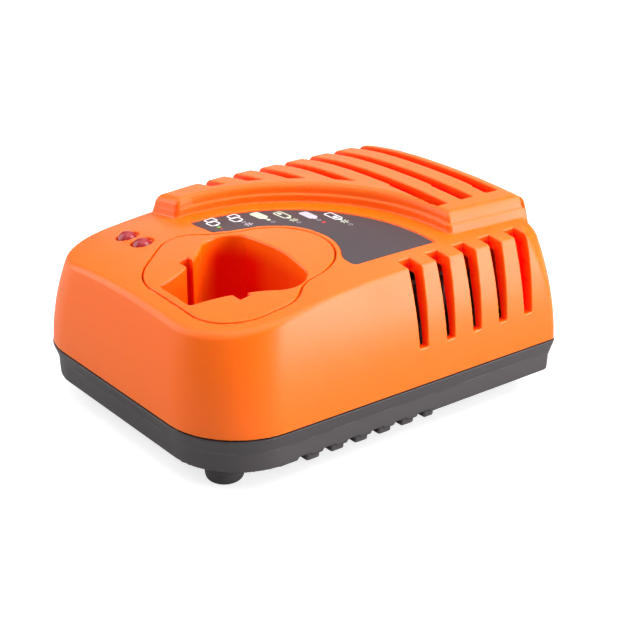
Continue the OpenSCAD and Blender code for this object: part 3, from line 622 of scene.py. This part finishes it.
# Painted shade in the pocket: the way it runs across, its share at steps along that way, and its share on the
# floor and in the key grooves.
shade_way = (0.614, 0.789)
shade_at = ((-7, 0.2), (-4.5, 0.35), (-1, 1.0), (12, 1.0), (17, 0.6), (30, 0.55))
floor_shade, key_shade = 0.7, 0.95


def pocket_plans(x, y):
    """Plans of the pocket and of its key grooves."""
    x, y = x - socket_x, y - socket_y
    return inside_outline(x, y, pocket_outline), rounded(x, y, key_reach, key_w / 2, 0.3)


def insert(x, y, z):
    under = z - roof(x, y)
    plate = plate_plan(x, y)
    pocket, keys = pocket_plans(x, y)
    form = both(both(plate, under, 0.25), -under - wall - lip_t)
    form = np.minimum(form, both(plate - lip_w, np.maximum(under + wall + fit_gap, -under - wall - lip_t)))
    tub = both(both(pocket - pocket_wall, pocket_floor_z - pocket_wall - z, 2), under + wall)
    form = either(form, tub, 0.5)
    form = np.minimum(form, both(keys - pocket_wall, np.maximum(under + wall, key_root_z - z)))
    for ear_x, ear_y in insert_ears:
        length = math.hypot(ear_x, ear_y)
        along = ((x - socket_x) * ear_x + (y - socket_y) * ear_y) / length
        beside = ((x - socket_x) * ear_y - (y - socket_y) * ear_x) / length
        ear = rounded(along - length * 0.65, beside, length * 0.35 + ear_r, ear_r, ear_r - 0.1)
        form = np.minimum(form, both(ear, np.abs(z - ear_z + ear_t / 2) - ear_t / 2, 0.3))
    form = without(form, both(pocket, pocket_floor_z - z, 1.5), 0.8)
    return without(form, both(keys, key_z - z, 0.4), 0.5)


def pocket_painted_shade(x, y, z):
    """Share of painted shade on the walls of the pocket, from 0 to 1, going across it from the front left:
    least there, most in the middle and in the key grooves, and less again towards the rear right. The floor
    takes one even share."""
    pocket, keys = pocket_plans(x, y)
    along = shade_way[0] * (x - socket_x) + shade_way[1] * (y - socket_y)
    shade = np.interp(along, *zip(*shade_at))
    shade = np.where(z < pocket_floor_z + 1.6, floor_shade, shade)
    return (np.minimum(pocket, keys) < 0.4) * np.where(keys < pocket, key_shade, shade)


# The pocket's walls take a painted shade of darker red and a faint painted red glow, which come on from just
# below the plate downwards.
orange_insert = moulding("insert_orange", orange, rubbed_orange, corner_orange, 0.36, 0.012, 1800.0,
                         glow=(0.16, 0.0, 0.0), specular=0.35, fade=(61, 52))
insert_low, insert_high = (np.array(corner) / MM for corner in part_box("socket_insert"))
socket_tub = skin(
    "socket_tub", insert, insert_low - 1, insert_high + 1, pitch=0.4, faces=190_000, depth=pocket_painted_shade)
put_on(socket_tub, orange_insert, "orange_insert", "socket_insert")

# ---------------------------------------------------------------- base tray
# Dark grey ABS tray that closes the case from below. Its lap stands inside the housing's rebate, its walls
# lean in to the floor, and a comb of air notches runs along the right lower edge.
base_z = 5.5
tray_top = parting_z - 0.4
tray_floor = base_z + 2.5
tray_lean = 4.6
tray_edge_r = 2.4
notch_count, notch_pitch, notch_w, notch_h = 6, 10, 4.4, 3.2
notch_y, notch_root_x = 32.9 - back_y, side_x - 10
comb_in, comb_half_w, comb_drop, comb_h = 9.4, 5, 0.7, 3
lap_in, lap_inner, lap_h = 1.65, 2.85, 2.5
foot_x, foot_y, foot_hole_r, foot_plug_r = side_x - 19, back_y - 15.5, 2.5, 2.4
posts = [(side * x, y) for side in (-1, 1)
         for x, y in ((side_x - 15, 53 - back_y), (side_x - 45, back_y - 7.5))]
post_r, post_top = 3.8, 16
well_r, well_h, screw_hole_r = 3.3, 5.5, 1.7
gland_x, gland_z, gland_r = 25 - side_x, 13.4, 4.7
pad_r, pad_in, pad_half_t = 7, 3.7, 2
gland_recess_r, gland_recess = 6.2, 1.7


def tray(x, y, z):
    lean_h = tray_top - base_z - 2
    inset = np.clip(tray_lean * (tray_top - z) / lean_h, 0, 6)
    slant = math.hypot(1, tray_lean / lean_h)
    walls = case_plan(x, y, inset, inset, 0, front_corner_r - inset, rear_corner_r) / slant
    form = both(walls, base_z - z, tray_edge_r)
    form = both(form, z - tray_top, 0.25)
    comb_mid = notch_y + (notch_count * notch_pitch + 1) / 2
    comb_half = (notch_count * notch_pitch - 3) / 2
    comb = rounded(x - side_x + comb_in, y - comb_mid, comb_half_w, comb_half, 1)
    comb = both(comb, np.maximum(base_z - comb_drop - z, z - base_z - comb_h), 0.7)
    form = either(form, comb, 0.4)
    lap = both(both(case_walls(x, y, z, lap_in), z - tray_top - lap_h, 0.3), tray_floor - z)
    form = np.minimum(form, lap)
    inner_r = front_corner_r - wall - inset
    inner = case_plan(x, y, wall + inset, wall + inset, wall, inner_r, rear_corner_r - wall)
    inner = np.where(z > tray_top - 2, np.maximum(inner, case_walls(x, y, z, lap_inner)), inner)
    form = without(form, both(inner, tray_floor - z, 1))
    for spot in posts:
        post = both(round_bar(x, y, spot, post_r), np.maximum(z - post_top, base_z + 1 - z))
        form = np.minimum(form, post)
        well = both(round_bar(x, y, spot, well_r), z - base_z - well_h)
        form = without(form, np.minimum(well, round_bar(x, y, spot, screw_hole_r)), 0.4)
    feet_at = np.abs(x) - foot_x, np.abs(y) - foot_y
    form = without(form, rounded(*feet_at, foot_hole_r, foot_hole_r, foot_hole_r))
    hole = np.hypot(x - gland_x, z - gland_z)
    pad = np.maximum(hole - pad_r, np.abs(y - back_y + pad_in) - pad_half_t)
    form = np.minimum(form, both(pad, base_z - z))
    form = without(form, both(hole - gland_r, back_y - 14 - y))
    form = without(form, both(hole - gland_recess_r, back_y - gland_recess - y), 0.3)
    row = np.clip(np.round((y - notch_y - notch_w / 2) / notch_pitch), 0, notch_count - 1)
    lane = np.abs(y - notch_y - notch_w / 2 - row * notch_pitch) - notch_w / 2
    notch = both(both(lane, z - base_z - notch_h, 0.4), notch_root_x - x)
    return without(form, notch, 0.9)


charcoal = (0.052, 0.045, 0.049)
charcoal_shell = moulding("tray_grey", charcoal, (0.2, 0.19, 0.19), (0.16, 0.15, 0.14), 0.5, 0.03)
base_shell = skin(
    "base_shell", tray, (-side_x - 1, -back_y - 1, base_z - 2), (side_x + 1, back_y + 1, tray_top + 4),
    pitch=0.55, faces=110_000)
put_on(base_shell, charcoal_shell, "charcoal_shell", "base_tray")

# ---------------------------------------------------------------- status label
# Printed dark grey overlay glued into its recess, with symbols for the lamps' states. The film is 0.3 mm
# thick and follows the roof.
film_t = 0.3
film_scale = 4
film_tip_r, film_arc_gap = 2, 0.75


def film(x, y, z):
    """The label laid flat, with its thickness drawn larger so that it can be sampled."""
    arc_side = from_arc(x, y) - arc_r + label_arc_gap + film_arc_gap
    plan = both(label_plan(x, y, film_tip_r) + fit_gap, arc_side, label_corner_r)
    return both(plan, np.abs(z) - film_t * film_scale / 2, 0.3)


def lay_on_roof(points, normals):
    """Takes the flat label to its place on the roof."""
    middle = roof(points[:, 0], points[:, 1]) - label_depth + film_t / 2
    laid = np.stack([points[:, 0], points[:, 1], middle + points[:, 2] / film_scale], 1)
    leaned = normals * (1, 1, film_scale)
    return laid, leaned / np.linalg.norm(leaned, axis=1, keepdims=True)


label_film = moulding(
    "overlay_film", (0.055, 0.041, 0.048), (0.1, 0.09, 0.1), (0.08, 0.07, 0.08), 0.5, 0.004, 900.0,
    specular=0.3)
label_low, label_high = (np.array(corner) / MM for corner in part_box("status_label"))
label_sheet = skin(
    "label_sheet", film, (label_low[0] - 1, label_low[1] - 1, -2), (label_high[0] + 1, label_high[1] + 1, 2),
    pitch=0.3, faces=30_000, squeeze=lay_on_roof)
put_on(label_sheet, label_film, "label_film", "status_label")

# ---------------------------------------------------------------- label prints
# Screen-printed symbols on the label, one for each state of charge: a pictogram of the pack, then two lamp
# marks. The ink stands 0.04 mm proud of the film. The strokes are 0.55 mm wide.
ink_t = 0.04
stroke = 0.55
inks = {"white": (0.8, 0.76, 0.8), "lime": (0.64, 0.7, 0.52), "green": (0.2, 0.42, 0.05),
        "lilac": (0.6, 0.52, 0.6), "red": (0.55, 0.05, 0.05), "grey": (0.3, 0.3, 0.34)}


def box_outline(x0, y0, x1, y1, r, points=6):
    """Rectangle with rounded corners as a list of points."""
    corners = ((x1 - r, y1 - r), (x0 + r, y1 - r), (x0 + r, y0 + r), (x1 - r, y0 + r))
    return [(cx + r * math.cos(a), cy + r * math.sin(a)) for turn, (cx, cy) in enumerate(corners)
            for a in (math.radians(90 * turn + 90 * k / (points - 1)) for k in range(points))]


def ring_of(outer, inner):
    """Band between two outlines of as many points, as quads."""
    n = len(outer)
    return [(outer[i], outer[(i + 1) % n], inner[(i + 1) % n], inner[i]) for i in range(n)]


def box_ring(x0, y0, x1, y1, r):
    inner_box = box_outline(x0 + stroke, y0 + stroke, x1 - stroke, y1 - stroke, max(r - stroke, 0.1))
    return ring_of(box_outline(x0, y0, x1, y1, r), inner_box)


def pack_symbol(fill):
    """Lying pack with its terminal at the right, as an outline or filled."""
    nub = [box_outline(7.2, 1.0, 8.3, 2.5, 0.3)]
    return nub + ([box_outline(0, 0, 7.4, 3.5, 0.9)] if fill else box_ring(0, 0, 7.4, 3.5, 0.9))


def pack_in_charger():
    """Two linked frames, for a pack that is being put in."""
    nub = [box_outline(7.2, 0.1, 8.1, 1.6, 0.3)]
    return box_ring(0, 0, 4.1, 3.9, 0.8) + box_ring(2.8, -1.1, 7.5, 2.8, 1) + nub


def charge_bar(x0, x1):
    """Bar inside a pack's outline."""
    return [box_outline(x0, 1.1, x1, 2.4, 0.3)]


def dot(x, y, r=0.75):
    return [box_outline(x - r, y - r, x + r, y + r, r)]


def lamp_ring(x, y, r=0.8, line=0.3):
    return ring_of(*dot(x, y, r), *dot(x, y, r - line))


def rays(x, y, count=6, r0=0.45, r1=1.6):
    """Short rays round a lamp that flashes."""
    strokes = []
    for k in range(count):
        a = math.tau * (k + 0.25) / count
        ux, uy = math.cos(a), math.sin(a)
        strokes.append([(x + ux * r + s * uy * 0.2, y + uy * r - s * ux * 0.2)
                        for r, s in ((r0, -1), (r0, 1), (r1, 1), (r1, -1))])
    return strokes


def from_bmesh(name, shape):
    """Piece, in metres, from a shape drawn in millimetres."""
    bmesh.ops.scale(shape, vec=(MM, MM, MM), verts=shape.verts)
    mesh = bpy.data.meshes.new(name)
    shape.to_mesh(mesh)
    shape.free()
    return linked(name, mesh)


prints = (
    ((-23.6, -20.9), ("white", pack_in_charger()), ("green", dot(9.8, 0.2)), ("red", dot(11.9, -0.1, 0.5))),
    ((-20.6, -13.3), ("white", pack_in_charger()), ("grey", lamp_ring(9.4, 1.2)), ("lilac", rays(12.4, 1.2))),
    ((-16.5, -6.3), ("lime", pack_symbol(True)), ("lime", dot(9.7, 1.7)), ("grey", lamp_ring(12.4, 1.7))),
    ((-11.4, 0.1), ("lime", pack_symbol(False)), ("lime", rays(10.6, 1.7)), ("grey", lamp_ring(13.6, 1.7)),
     ("lime", charge_bar(1.1, 3.2))),
    ((-5.4, 7.0), ("lilac", pack_symbol(True)), ("grey", lamp_ring(10.0, 1.7)), ("red", dot(12.7, 1.7))),
    ((0.7, 13.4), ("white", pack_symbol(False)), ("lime", rays(10.2, 1.7)), ("grey", lamp_ring(13.6, 1.7)),
     ("white", charge_bar(3.9, 6.2))),
)
for k, (place, *parts) in enumerate(prints):
    shape = bmesh.new()
    names = list(dict.fromkeys(name for name, _ in parts))
    for name, polygons in parts:
        for polygon in polygons:
            spots = [(place[0] + x, place[1] + y) for x, y in polygon]
            face = shape.faces.new([
                shape.verts.new((x, y, float(roof(x, y)) - label_depth + film_t + ink_t)) for x, y in spots])
            face.material_index = names.index(name)
    bmesh.ops.recalc_face_normals(shape, faces=shape.faces)
    for face in shape.faces:
        if face.normal.z < 0:
            face.normal_flip()
    bmesh.ops.triangulate(shape, faces=[f for f in shape.faces if len(f.verts) > 4])
    skirt = bmesh.ops.extrude_face_region(shape, geom=list(shape.faces), use_keep_orig=True)
    for vert in (g for g in skirt["geom"] if isinstance(g, bmesh.types.BMVert)):
        vert.co.z -= ink_t
    sign = from_bmesh(f"label_print_{k}", shape)
    put_on(sign, None, "label_film", "status_label")
    for name in names:
        colour, corner_tint = inks[name], [c * 0.8 for c in inks[name]]
        ink = bpy.data.materials.get("ink_" + name) or moulding(
            "ink_" + name, colour, colour, corner_tint, 0.55, 0.002, 1200.0, specular=0.3)
        sign.data.materials.append(ink)

# ---------------------------------------------------------------- lamps
# Two domed light pipes of dark red clear plastic, each over a lamp on the little board below.
lens_r = 3.6
flange_r, flange_t = 4.4, 1.6
lamp_lens = moulding("red_lens", (0.34, 0.01, 0.02), (0.4, 0.03, 0.04), (0.3, 0.01, 0.02), 0.28, 0.002)


def quarter(r, angles):
    """Points of a rounded edge, as steps out and up from its centre."""
    return [(r * math.sin(math.radians(a)), r * math.cos(math.radians(a))) for a in angles]


def turned(name, profile, places, along="z"):
    """Lathed piece, in metres, from its profile of (radius, height) points in millimetres. It stands at each
    of the places, with its axis along z, or along y."""
    shape = bmesh.new()
    for place in places:
        points = [shape.verts.new((r, 0, h)) for r, h in profile]
        edges = [shape.edges.new(pair) for pair in zip(points, points[1:])]
        bmesh.ops.spin(
            shape, geom=points + edges, cent=(0, 0, 0), axis=(0, 0, 1), angle=math.tau, steps=64)
        made = [v for v in shape.verts if not v.tag]
        turn = Matrix.Rotation(math.radians(-90), 4, "X") if along == "y" else Matrix()
        bmesh.ops.transform(shape, matrix=Matrix.Translation(place) @ turn, verts=made)
        for vert in made:
            vert.tag = True
    bmesh.ops.remove_doubles(shape, verts=shape.verts, dist=1e-4)
    bmesh.ops.recalc_face_normals(shape, faces=shape.faces)
    piece = from_bmesh(name, shape)
    piece.data.polygons.foreach_set("use_smooth", [True] * len(piece.data.polygons))
    piece.data.set_sharp_from_angle(angle=math.radians(40))
    return piece


for (lamp_x, lamp_y), lens_node in zip(led_spots, ("power_led_lens", "charge_led_lens")):
    low, high = (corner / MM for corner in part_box(lens_node))
    tall = high.z - low.z
    profile = [(0, tall)] + [(r, tall - lens_r + h) for r, h in quarter(lens_r, range(6, 91, 6))]
    profile += [(lens_r, flange_t + 0.2), (lens_r + 0.2, flange_t), (flange_r - 0.1, flange_t),
                (flange_r, flange_t - 0.1), (flange_r, 0.1), (flange_r - 0.1, 0), (0, 0)]
    put_on(turned(lens_node + "_dome", profile, [(lamp_x, lamp_y, low.z)]), lamp_lens, "lamp_lens", lens_node)

# ---------------------------------------------------------------- feet
# Four pads of dark rubber moulded with a plug that is pulled into the tray's floor. The lower edge is well
# rounded, and the sole has a shallow dish and a ring so that it grips.
sole_r, foot_edge_r = 4.0, 2.3
plug_top = tray_floor + 1
foot_profile = [(0, 0.35), (2.6, 0.35), (3.0, 0.1), (3.4, 0.0), (sole_r, 0.0)]
foot_profile += [(sole_r + r, foot_edge_r - h) for r, h in quarter(foot_edge_r, range(10, 81, 10))]
foot_profile += [(6.4, 2.6), (6.45, 3.4), (6.2, 3.7), (6.2, 4.0), (6.48, 4.3), (6.5, base_z - 0.1),
                 (6.4, base_z), (foot_plug_r, base_z), (foot_plug_r, plug_top - 0.6),
                 (foot_plug_r - 0.5, plug_top), (0, plug_top)]
foot_rubber = moulding(
    "foot_rubber", (0.05, 0.044, 0.045), (0.09, 0.085, 0.08), (0.11, 0.1, 0.09), 0.62, 0.02, 900.0)
feet = turned("feet", foot_profile, [(sx * foot_x, sy * foot_y, 0) for sx in (-1, 1) for sy in (-1, 1)])
put_on(feet, foot_rubber, "foot_rubber", "rubber_feet")

# ---------------------------------------------------------------- mains gland
# Black rubber bush in the back wall of the tray, where a round mains lead would go in. Its groove grips the
# pad, and the outer lip is rounded. No lead is fitted.
gland_lip = 1.6
gland_out = back_y - gland_recess + gland_lip
gland_profile = [(3.5, 0.5), (3.9, 0.1), (4.4, 0.0), (5.3, 0.0), (5.7, 0.2), (5.85, 0.6),
                 (5.85, gland_lip - 0.1), (5.75, gland_lip), (4.6, gland_lip), (4.6, 5.6), (5.1, 5.6),
                 (5.15, 5.8), (4.7, 7.0), (4.5, 7.2), (3.7, 7.2), (3.5, 7.0), (3.5, 0.5)]
gland_rubber = moulding(
    "gland_rubber", (0.022, 0.021, 0.021), (0.06, 0.06, 0.06), (0.08, 0.075, 0.07), 0.6, 0.015, 1000.0)
gland = turned("gland", [(r, -h) for r, h in gland_profile], [(gland_x, gland_out, gland_z)], "y")
put_on(gland, gland_rubber, "gland_rubber", "inlet_gland")

# ---------------------------------------------------------------- screws and brass
# Zinc-plated pan-head screws, and contact blades and fuse clips pressed from spring brass. They keep their
# CAD shape and take a finish of their own, as do all the parts inside.
finish, given, result = group(
    "part_finish", {"Scale": 900.0, "Across": 1.0},
    {"Tone": "NodeSocketFloat", "Height": "NodeSocketFloat", "Edge": "NodeSocketFloat"})
spot = add(finish, "ShaderNodeTexCoord", {}).outputs["Object"]
squash = add(finish, "ShaderNodeCombineXYZ", {"X": 1.0, "Y": given.outputs["Across"], "Z": 1.0})
drawn = add(finish, "ShaderNodeVectorMath", {0: spot, 1: squash.outputs[0]}, operation="MULTIPLY")
fine = noise(finish, drawn.outputs[0], given.outputs["Scale"], 4.0)
slow = noise(finish, spot, 70.0, 2.0)
point = add(finish, "ShaderNodeNewGeometry", {}).outputs["Pointiness"]
worn = maths(finish, "MULTIPLY", mapped(finish, point, 0.51, 0.58), slow)
for value, name in ((slow, "Tone"), (fine, "Height"), (worn, "Edge")):
    finish.links.new(value, result.inputs[name])


def inner(on, name, dark, light, worn_colour, roughness, depth=0.01, scale=900.0, across=1.0, metallic=0.0):
    """Finish of the CAD nodes named in on. It drifts between two colours, is paler on edges, and has a fine
    relief."""
    material = bpy.data.materials.new(name)
    material.use_nodes = True
    tree = material.node_tree
    shader = tree.nodes["Principled BSDF"]
    look = add(tree, "ShaderNodeGroup", {}, node_tree=finish)
    look.inputs["Scale"].default_value = scale
    look.inputs["Across"].default_value = across
    base = mixed(tree, look.outputs["Tone"], dark, light)
    tree.links.new(mixed(tree, look.outputs["Edge"], base, worn_colour), shader.inputs["Base Color"])
    rough = mapped(tree, look.outputs["Tone"], 0.0, 1.0, roughness * 0.8, roughness * 1.25)
    tree.links.new(rough, shader.inputs["Roughness"])
    bump = add(tree, "ShaderNodeBump", {
        "Height": look.outputs["Height"], "Strength": 1.0, "Distance": depth * MM})
    tree.links.new(bump.outputs[0], shader.inputs["Normal"])
    shader.inputs["Metallic"].default_value = metallic
    for node in on:
        nodes[node].data.materials.clear()
        nodes[node].data.materials.append(material)
    return material


inner(("led_board_screws", "socket_screws", "board_screws", "case_screws"),
      "zinc_plate", (0.5, 0.5, 0.5), (0.66, 0.66, 0.64), (0.8, 0.8, 0.78), 0.3, 0.006, metallic=1.0)
inner(("contact_blades", "fuse_clips"),
      "spring_brass", (0.72, 0.56, 0.28), (0.85, 0.7, 0.4), (0.9, 0.78, 0.5), 0.25, 0.004, 500.0, 6.0, 1.0)

# ---------------------------------------------------------------- boards
# The main board and the lamps' little board are glass laminate with a green solder mask, whose weave shows
# faintly. Their routed edges are bare and yellowish.
inner(("circuit_board", "led_board"),
      "board_laminate", (0.02, 0.1, 0.035), (0.035, 0.15, 0.055), (0.3, 0.3, 0.12), 0.35, 0.01, 1400.0)

# ---------------------------------------------------------------- leads and lamps below
# Red insulated leads from the board to the lamps and the contacts, and the two 5 mm lamps of clear red epoxy.
inner(("led_leads", "contact_leads"),
      "lead_insulation", (0.42, 0.015, 0.015), (0.52, 0.03, 0.025), (0.6, 0.06, 0.05), 0.45, 0.01, 600.0)
inner(("power_led", "charge_led"),
      "lamp_epoxy", (0.5, 0.02, 0.02), (0.62, 0.04, 0.03), (0.7, 0.08, 0.06), 0.15, 0.002, 400.0)

# ---------------------------------------------------------------- transformer and choke
# Dark ground ferrite cores. The transformer's enamelled copper is wound on a natural nylon bobbin, and the
# choke's straight on its ring.
inner(("transformer_core", "filter_choke_core"),
      "ferrite", (0.045, 0.045, 0.05), (0.075, 0.075, 0.08), (0.14, 0.14, 0.14), 0.5, 0.03, 2200.0)
inner(
    ("transformer_winding", "filter_choke_winding"),
    "enamelled_copper", (0.6, 0.22, 0.08), (0.78, 0.34, 0.14), (0.85, 0.45, 0.22), 0.3, 0.12, 500.0, 0.2, 1.0)
inner(("transformer_bobbin",),
      "natural_nylon", (0.5, 0.45, 0.31), (0.6, 0.55, 0.4), (0.68, 0.64, 0.5), 0.42, 0.01)

# ---------------------------------------------------------------- capacitors
# The big mains capacitor and the two output ones are cans in a shiny dark sleeve. The suppression capacitor
# is a yellow box filled with epoxy.
inner(("mains_capacitor", "output_capacitors"),
      "capacitor_sleeve", (0.015, 0.022, 0.05), (0.025, 0.035, 0.075), (0.06, 0.07, 0.11), 0.22, 0.006, 700.0)
inner(("suppression_capacitor",),
      "yellow_box", (0.62, 0.43, 0.04), (0.75, 0.54, 0.06), (0.8, 0.62, 0.15), 0.3, 0.008)

# ---------------------------------------------------------------- sink and semiconductors
# An extruded, black anodised sink with drawing lines, and matt black moulded packages screwed or soldered on.
# The contact block is the same matt black.
inner(
    ("heat_sink",),
    "black_anodised", (0.045, 0.045, 0.05), (0.07, 0.07, 0.078), (0.4, 0.4, 0.4), 0.4, 0.015, 1500.0, 0.05,
    metallic=0.6)
inner(("power_transistor", "rectifier_diode", "bridge_rectifier", "control_chip", "contact_block"),
      "black_moulding", (0.015, 0.015, 0.016), (0.026, 0.026, 0.027), (0.06, 0.06, 0.06), 0.5, 0.02, 1800.0)

# ---------------------------------------------------------------- fuse
# A glass tube with plated caps, held in two clips. It is one CAD body, so it takes one look: pale glass.
glass = inner(("fuse",),
              "fuse_glass", (0.78, 0.8, 0.8), (0.88, 0.9, 0.9), (0.95, 0.95, 0.95), 0.08, 0.001, 300.0)
glass.node_tree.nodes["Principled BSDF"].inputs["Transmission Weight"].default_value = 0.85

# ---------------------------------------------------------------- floor and light
# A white floor under one large overhead light, with five more lights round it. The floor's own glow is seen
# by the camera alone, and rises with the distance from the part, so that the part's shadow stays.
floor_mesh = bpy.data.meshes.new("floor")
floor_mesh.from_pydata([(-6, -6, 0), (6, -6, 0), (6, 6, 0), (-6, 6, 0)], [], [(0, 1, 2, 3)])
floor = linked("floor", floor_mesh)
paper = bpy.data.materials.new("paper")
paper.use_nodes = True
shader = paper.node_tree.nodes["Principled BSDF"]
shader.inputs["Base Color"].default_value = (0.5, 0.5, 0.5, 1)
shader.inputs["Roughness"].default_value = 1
shader.inputs["Specular IOR Level"].default_value = 0
shader.inputs["Emission Color"].default_value = (1, 1, 1, 1)
seen = add(paper.node_tree, "ShaderNodeLightPath", {})
place = add(paper.node_tree, "ShaderNodeTexCoord", {}).outputs["Object"]
away = add(paper.node_tree, "ShaderNodeVectorMath", {0: place}, operation="LENGTH").outputs["Value"]
paler = mapped(paper.node_tree, away, 0.3, 1.5, 0.72, 1.0)
glow = maths(paper.node_tree, "MULTIPLY", seen.outputs["Is Camera Ray"], paler)
paper.node_tree.links.new(glow, shader.inputs["Emission Strength"])
floor_mesh.materials.append(paper)

sky_light = 0.2
world = bpy.data.worlds.new("studio")
bpy.context.scene.world = world
world.use_nodes = True
sky = world.node_tree.nodes["Background"]
seen = add(world.node_tree, "ShaderNodeLightPath", {})
direct = maths(world.node_tree, "MULTIPLY_ADD", seen.outputs["Is Camera Ray"], 1 - sky_light, sky_light)
world.node_tree.links.new(direct, sky.inputs["Strength"])
sky.inputs["Color"].default_value = (1, 1, 1, 1)

# Where each light stands, where it aims, its size in metres and its power in watts.
lights = {
    "overhead": ((0.0, 0.1, 1.3), (0.0, 0.0, 0.05), 1.4, 13.5),
    "front_left": ((-1.25, -1.1, 0.9), (0.0, 0.0, 0.04), 1.8, 27),
    "right_back": ((1.1, 0.75, 0.34), (0.0, 0.0, 0.04), 0.8, 20),
    "left_back": ((-1.0, 0.8, 0.65), (0.0, 0.0, 0.04), 1.0, 2.5),
    "right_top": ((0.62, 0.85, 1.0), (0.0, 0.0, 0.06), 0.8, 14),
    "fill": ((0.5, -0.9, 0.9), (0.0, 0.0, 0.04), 0.8, 1.5),
}
for name, (where, aim, size, power) in lights.items():
    data = bpy.data.lights.new(name, "AREA")
    data.size = size
    data.energy = power
    lamp = linked(name, data)
    lamp.location = where
    lamp.rotation_euler = (Vector(where) - Vector(aim)).to_track_quat("Z", "Y").to_euler()

bpy.context.scene.view_settings.view_transform = "Standard"
